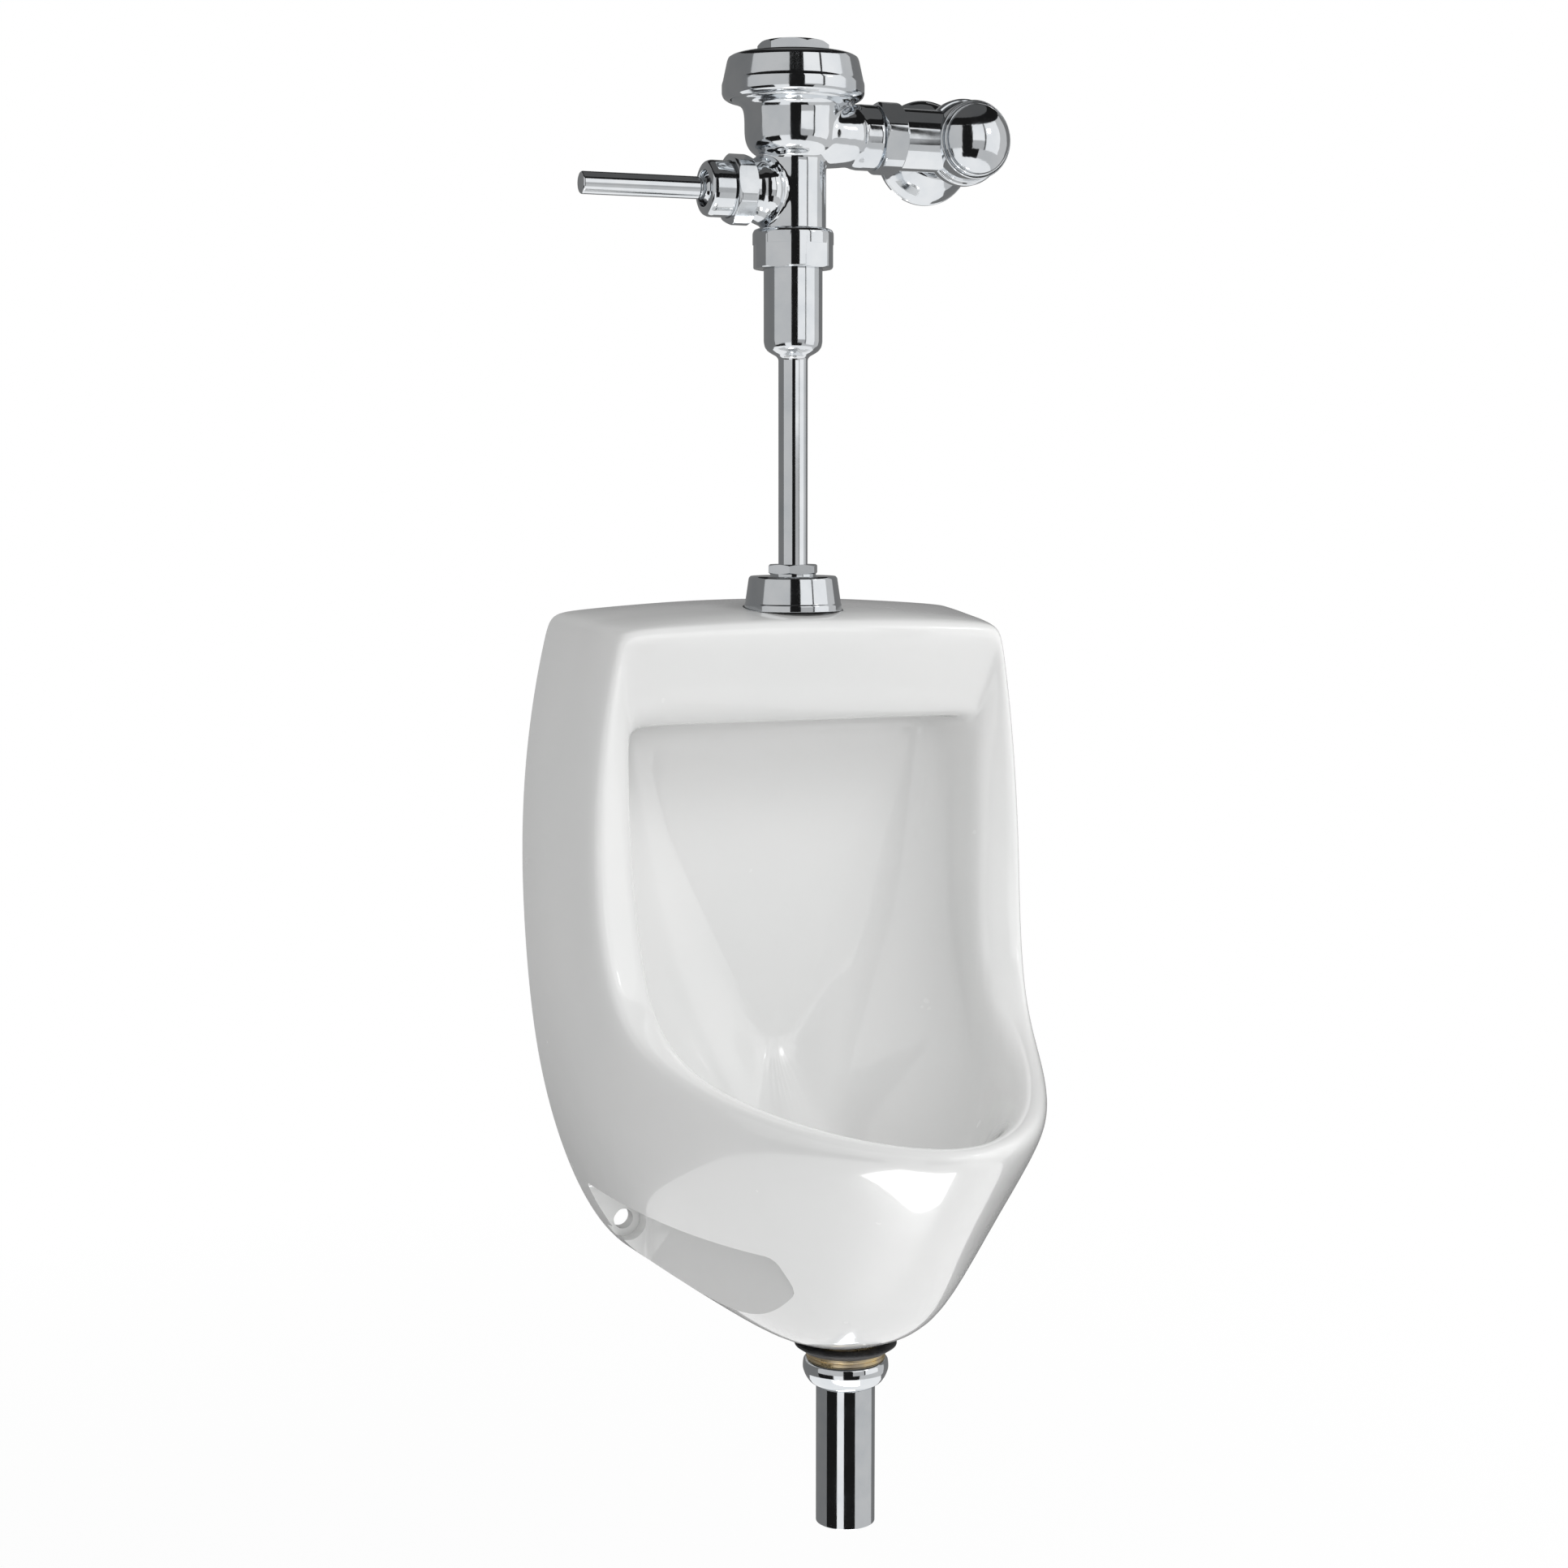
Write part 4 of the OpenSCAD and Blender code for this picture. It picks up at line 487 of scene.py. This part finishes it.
def nut(name, flats, start, end, chamfer, turn, bore, place, stand=0.0):
    """A six-sided nut with its ends chamfered and its corners turned down to stand over the flats, in mm."""
    corner = flats / math.sqrt(3)
    face = 0.497 * flats
    over = flats / 2 + stand if stand else corner + 1
    rise = chamfer * (over - face) / (corner - face)
    shape = bar(name, 6, corner, start, end, place @ Matrix.Rotation(math.radians(turn + 30), 4, "Z"))
    cones = turned("cones", [[0, start], [face, start], [over, start + rise], [over, end - rise], [face, end], [0, end]],
                   place, rounding=0.6 if stand else 0.01)
    carve(shape, "INTERSECT", cones)
    carve(shape, "DIFFERENCE", bar("bore", 96, bore, start - 1, end + 1, place))
    return shape


plate, spot, noise = surface("chrome_plate")
haze = plate.node("ShaderNodeMapRange", {}, {"Value": noise(55, 4), "From Min": 0.35, "From Max": 0.7})
chrome = shine(plate, {
    "Base Color": plate.between(haze, (0.78, 0.80, 0.82), (0.70, 0.73, 0.76)),
    "Metallic": 1.0, "Roughness": 0.045 + 0.07 * haze}, bump=noise(70, 2), depth=0.00003)

finished(turned("spud_escutcheon", [
    [30.7, 0.2], [32, 0.2], [32, 4], [31.4, 5], [29, 21.6], [27.8, 22.8], [15.6, 22.8], [15.6, 21.5],
    [27.1, 21.5], [30.1, 4.5], [30.7, 4]], on_valve, rounding=1.2, closed=True),
    chrome, "fixture", "chrome", "spud_flange")
spud_nut = nut("spud_nut", 30, 24.1, 30.4, 1, 0, 9.825, on_valve)
finished(spud_nut, chrome, "fixture", "chrome", "spud_coupling_nut", edge=0.3)
finished(turned("spud_nut_collar", [[9.825, 8], [15, 8], [15, 29.4], [9.825, 29.4]], on_valve, closed=True),
         chrome, "fixture", "chrome")

brass_metal, spot, noise = surface("turned_brass")
rings = brass_metal.node("ShaderNodeTexWave", {"wave_type": "RINGS", "rings_direction": "Z"}, {
    "Vector": spot, "Scale": 240, "Distortion": 0.4})["Fac"]
tarnish = brass_metal.node("ShaderNodeMapRange", {}, {"Value": noise(60, 5, 0.65), "From Min": 0.42, "From Max": 0.6})
turned_brass = shine(brass_metal, {
    "Base Color": brass_metal.between(tarnish, (0.80, 0.62, 0.33), (0.56, 0.47, 0.34)),
    "Metallic": 1.0, "Roughness": 0.22 + 0.22 * tarnish}, bump=rings, depth=0.00002)
gum, spot, noise = surface("black_rubber")
bloom = gum.node("ShaderNodeMapRange", {}, {"Value": noise(45, 4, 0.6), "From Min": 0.45, "From Max": 0.75})
black_rubber = shine(gum, {
    "Base Color": gum.between(bloom, (0.018, 0.018, 0.020), (0.060, 0.060, 0.062)),
    "Roughness": 0.55 + 0.2 * bloom}, bump=noise(700), depth=0.00008)
coat_nodes(turned_brass, "spud_body", "spud_expansion_nut", "friction_ring")
coat_nodes(black_rubber, "spud_washer", "spud_sleeve", "spud_gasket")


# Flush tube: a seamless chrome plated brass tube that opens into the head of the vacuum breaker.
# The rubber sack and its plastic insert hang inside the head.
finished(turned("flush_tube", [
    [8.625, -12], [9.525, -12], [9.525, 163], [11, 164.9], [14.2, 166.6], [16.8, 168.4], [18.4, 170.8], [19.05, 174], [19.05, 225.6], [21.3, 225.6],
    [21.3, 228], [17.95, 228], [17.95, 172], [8.625, 165.2]], on_valve, rounding=1.0, closed=True),
    chrome, "fixture", "chrome", "flush_tube")
pale, spot, noise = surface("moulded_plastic")
moulded_plastic = shine(pale, {
    "Base Color": pale.between(noise(30), (0.80, 0.80, 0.73), (0.87, 0.87, 0.81)),
    "Roughness": 0.38 + 0.12 * noise(120)}, bump=noise(300), depth=0.00005)
coat_nodes(black_rubber, "breaker_sack", "breaker_gasket")
coat_nodes(moulded_plastic, "breaker_insert")


# Flush coupling nut: a cast nut with six short flats and a plain round top, chrome plated.
# It draws the head of the breaker up against the valve.
coupling = turned("flush_nut", [
    [0, 220.6], [25.25, 220.6], [26.25, 221.6], [26.25, 243.1], [25.35, 245.2], [23.25, 246.1], [0, 246.1]],
    on_valve, rounding=0.7)
waste = bar("waste", 96, 34, 219.6, 236.1, on_valve)
carve(waste, "DIFFERENCE", bar("flats", 6, 49.9 / math.sqrt(3), 218.6, 237.1, on_valve @ Matrix.Rotation(math.radians(45), 4, "Z")))
carve(coupling, "DIFFERENCE", waste, bar("bore", 96, 19.35, 219, 250, on_valve), bar("counter", 96, 21.6, 225.4, 250, on_valve))
coupling.data.set_sharp_from_angle(angle=math.radians(25))
finished(coupling, chrome, "fixture", "chrome", "flush_coupling_nut")


# Valve body: one cast and polished brass body, chrome plated, with the inlet neck on its right,
# the handle port on its left and the cup for the diaphragm on top.
on_inlet = Matrix.Translation((0, -0.060, 0.7165)) @ Matrix.Rotation(math.pi / 2, 4, "Y") @ Matrix.Scale(mm, 4)
on_handle = Matrix.Translation((0, -0.060, 0.6796)) @ Matrix.Rotation(-math.pi / 2, 4, "Y") @ Matrix.Scale(mm, 4)
body = turned("valve_body", [
    [0, 233.6], [21.3, 233.6], [21.3, 290], [22.1, 291.6], [24.3, 292.8], [27, 294.8], [29.6, 298.2], [31, 302.5], [31.4, 307],
    [31.4, 315.2], [32, 321.2], [33.6, 324], [36.4, 325.4], [38.8, 325.9], [40, 326.5], [40, 338], [0, 338]], on_valve, rounding=1.6)
swell = on_inlet @ Matrix.Diagonal((1, 1.25, 1, 1))
carve(body, "UNION",
      turned("swell", [[0, 0], [21, 0], [21, 22], [20.4, 30], [19.4, 38], [17.4, 43], [0, 43]], swell, rounding=2.0),
      turned("neck", [[0, 0], [19.4, 0], [19.4, 38.4], [21, 43.4], [21, 56.4], [18.5, 56.4], [18.5, 62], [0, 62]], on_inlet, rounding=1.0),
      turned("port", [[0, 0], [18, 0], [18, 12], [22.2, 18], [22.2, 24], [19.2, 29], [19.2, 35], [0, 35]], on_handle, rounding=2.2))


def cast(piece, grain, rounds, keep):
    """Turns a joined shape into one cast skin whose inner corners are filled and whose edges are eased."""
    skin = piece.modifiers.new("skin", "REMESH")
    skin.mode = "VOXEL"
    skin.voxel_size = grain * mm
    bake(piece)
    rough = bmesh.new()
    rough.from_mesh(piece.data)
    for turn in range(rounds):
        bmesh.ops.smooth_vert(rough, verts=[v for v in rough.verts if keep(v.co)], factor=0.5,
                              use_axis_x=True, use_axis_y=True, use_axis_z=True)
    rough.to_mesh(piece.data)
    rough.free()


cast(body, 0.9, 16, lambda at: at.z > 0.6510 and math.hypot(at.x, at.y + 0.060) < 0.0455)
finished(body, chrome, "fixture", "chrome", "valve_body")


# Cover: the turned brass cover, screwed down on the cup, with the low six-sided boss for the wrench.
cover = turned("cover", [
    [0, 331], [40.3, 331], [40.3, 327.2], [42.5, 327.2], [44.9, 328.8], [45.9, 331.2], [45.9, 337.2], [45.2, 339.2], [42.4, 352],
    [41.6, 353.8], [39.4, 355], [24.7, 357], [0, 357]], on_valve, rounding=0.9)
boss = bar("boss", 6, 23.2, 356, 364, on_valve)
crown = turned("crown", [[0, 355], [24.2, 355], [24.2, 361.3], [20.2, 364], [0, 364]], on_valve, rounding=0.6)
carve(boss, "INTERSECT", crown)
carve(cover, "UNION", boss)
finished(cover, chrome, "fixture", "chrome", "outside_cover", edge=0.5, angle=28)
coat_nodes(moulded_plastic, "inside_cover", "diaphragm_disc", "guide")
coat_nodes(black_rubber, "diaphragm")
coat_nodes(turned_brass, "relief_valve")


# Handle: a plain round lever in a ball-and-socket port. The socket is held by a six-sided coupling nut,
# and a push or pull on the lever tips its flange against the plunger.
finished(nut("handle_nut", 42, 31.7, 45.2, 2.2, 12, 18.2, on_handle, stand=1.8), chrome, "fixture", "chrome",
         "handle_coupling_nut", edge=0.35)
finished(turned("handle_socket", [
    [16.2, 39], [19.2, 39], [19.2, 43], [17.9, 43], [17.9, 58], [16.8, 60.6], [14.3, 62], [11.5, 62], [11.5, 58.5],
    [16.2, 58.5]], on_handle, rounding=1.0, closed=True), chrome, "fixture", "chrome", "handle_socket")
finished(turned("handle_lever", [
    [0, 50], [8.2, 50], [9, 50.8], [9, 55.2], [15.2, 55.2], [15.2, 58.2], [10, 58.2], [8.1, 60.5], [6.6, 62], [6.6, 65.6],
    [7.1, 66.2], [7.1, 143.2], [6.3, 144], [0, 144]], on_handle, rounding=0.9), chrome, "lever", "chrome", "handle_lever")
coat_nodes(black_rubber, "handle_gasket", "handle_seal")
coat_nodes(turned_brass, "handle_bushing", "plunger")
coat_nodes(zinc_steel, "handle_spring")


# Control stop: an angle stop between the supply and the valve, cast brass and chrome plated. Its barrel
# meets the valve's neck in a coupling nut, and its front is closed by a sleeve and a domed cap.
on_stop = Matrix.Translation((0.121, 0, 0.7165)) @ Matrix.Rotation(math.pi / 2, 4, "X") @ Matrix.Scale(mm, 4)
finished(nut("stop_nut", 43, 57, 73, 2.2, 18, 14.3, on_inlet, stand=1.8), chrome, "fixture", "chrome", "stop_coupling_nut", edge=0.35)
stop = turned("stop_body", [
    [0, 39], [18.9, 39], [19.3, 39.4], [19.3, 42], [17.7, 43], [18.9, 46], [22.1, 50], [25.8, 54.5], [28.2, 58.5],
    [28.2, 64.5], [27.4, 65.6], [25.4, 66], [25.4, 80.5], [24.9, 81], [0, 81]], on_stop, rounding=1.0)
carve(stop, "UNION", turned("barrel", [[0, 73.2], [20.1, 73.2], [20.1, 113], [0, 113]], on_inlet, rounding=0.5))
finished(stop, chrome, "fixture", "chrome", "stop_body", edge=0.9, angle=28)
finished(turned("cap_sleeve", [
    [18.3, 81.2], [23.2, 81.2], [23.7, 81.7], [23.7, 82.9], [22.9, 83.7], [14.3, 83.7], [14.3, 82.4], [18.3, 82.4]],
    on_stop, rounding=0.4, closed=True), chrome, "fixture", "chrome", "cap_sleeve")
ball = (22.1 ** 2 + 9 ** 2) / 18
dome = [[ball * math.sin(a), 94.5 - ball * (1 - math.cos(a))] for a in (math.asin(22.1 / ball) * (1 - i / 14) for i in range(15))]
finished(turned("stop_cap", [[20.5, 84], [22.1, 84], *dome], on_stop, rounding=0.5), chrome, "cap", "chrome", "stop_cap")
coat_nodes(turned_brass, "stop_tailpiece", "locking_ring", "stop_piston", "stop_bonnet", "stop_screw")
coat_nodes(black_rubber, "tailpiece_oring", "bonnet_oring")
coat_nodes(zinc_steel, "stop_spring")


# Supply: a sweat adapter on the copper stub out of the wall, covered by a chrome tube and a spun flange
# that is held on it by a setscrew.
finished(turned("supply_adapter", [[11.15, 0], [13.4, 0], [13.4, 47], [11.15, 47]], on_stop, closed=True),
         turned_brass, "fixture", "brass", "supply_adapter")
finished(turned("cover_tube", [[14.8, 5], [16, 5], [16, 38.8], [14.8, 38.8]], on_stop, closed=True),
         chrome, "fixture", "chrome", "cover_tube")
flange = turned("wall_flange", [
    [33.6, 0], [35, 0], [35, 2.4], [34.2, 3], [32, 8], [27, 14], [20, 19], [18, 20], [16.3, 20], [16.3, 14],
    [19, 14], [25.5, 12.2], [30.4, 7], [32.6, 3]], on_stop, rounding=2.0, closed=True)
notch = bmesh.new()
bmesh.ops.create_cube(notch, size=1, matrix=Matrix.Translation((35.9, 0, 0.7)) @ Matrix.Diagonal((5, 10, 3.4, 1)))
notch.transform(on_stop @ Matrix.Rotation(math.radians(-125), 4, "Z"))
carve(flange, "DIFFERENCE", blank("notch", notch))
finished(flange, chrome, "fixture", "chrome", "wall_flange", edge=0.3)
coat_nodes(zinc_steel, "flange_setscrew")


# Outlet: a brass spud through the floor of the bowl under a pierced strainer, drawn down on a rubber gasket
# by its locknut. A chrome plated slip collar holds the bare tailpiece.
strainer = turned("strainer", [[2.4, 420.4], [31, 420.4], [31, 422.6], [2.4, 422.6]], on_outlet, rounding=0.7, closed=True)
holes = [bar("hole", 32, 2.8, 419, 424, on_outlet @ Matrix.Rotation(math.tau * (k + 0.5) / 12, 4, "Z") @ Matrix.Translation((15.5, 0, 0)))
         for k in range(12)]
carve(strainer, "DIFFERENCE", *holes)
finished(strainer, chrome, "fixture", "chrome", "bowl_strainer", edge=0.25)
coat_nodes(zinc_steel, "strainer_screw")
coat_nodes(turned_brass, "outlet_spud")
coat_nodes(black_rubber, "slip_washer")
finished(turned("outlet_gasket", [
    [22.7, 466.2], [33, 466.2], [33, 467.2], [27.2, 471.2], [22.7, 471.2]], on_outlet, rounding=0.5, closed=True),
    black_rubber, "fixture", "rubber", "outlet_gasket")
finished(turned("outlet_locknut", [
    [22.7, 471.4], [25.6, 471.4], [25.6, 473.6], [25.1, 473.9], [25.6, 474.2], [25.6, 476.4], [22.7, 476.4]],
    on_outlet, rounding=0.4, closed=True), turned_brass, "fixture", "brass", "outlet_locknut")
finished(turned("slip_collar", [
    [19.35, 476.6], [25.8, 476.6], [27.2, 478], [27.6, 480.6], [27.6, 483.6], [26.2, 487.6], [23.65, 491.5], [21.05, 493.1],
    [19.35, 493.1]], on_outlet, rounding=1.4, closed=True), chrome, "fixture", "chrome", "slip_collar")
finished(turned("tailpiece", [
    [17.85, 468], [18.75, 468], [18.75, 494.2], [19.05, 494.4], [19.05, 585.5], [17.85, 585.5]], on_outlet, rounding=0.4, closed=True),
    chrome, "fixture", "chrome", "tailpiece")

bpy.context.view_layer.update()
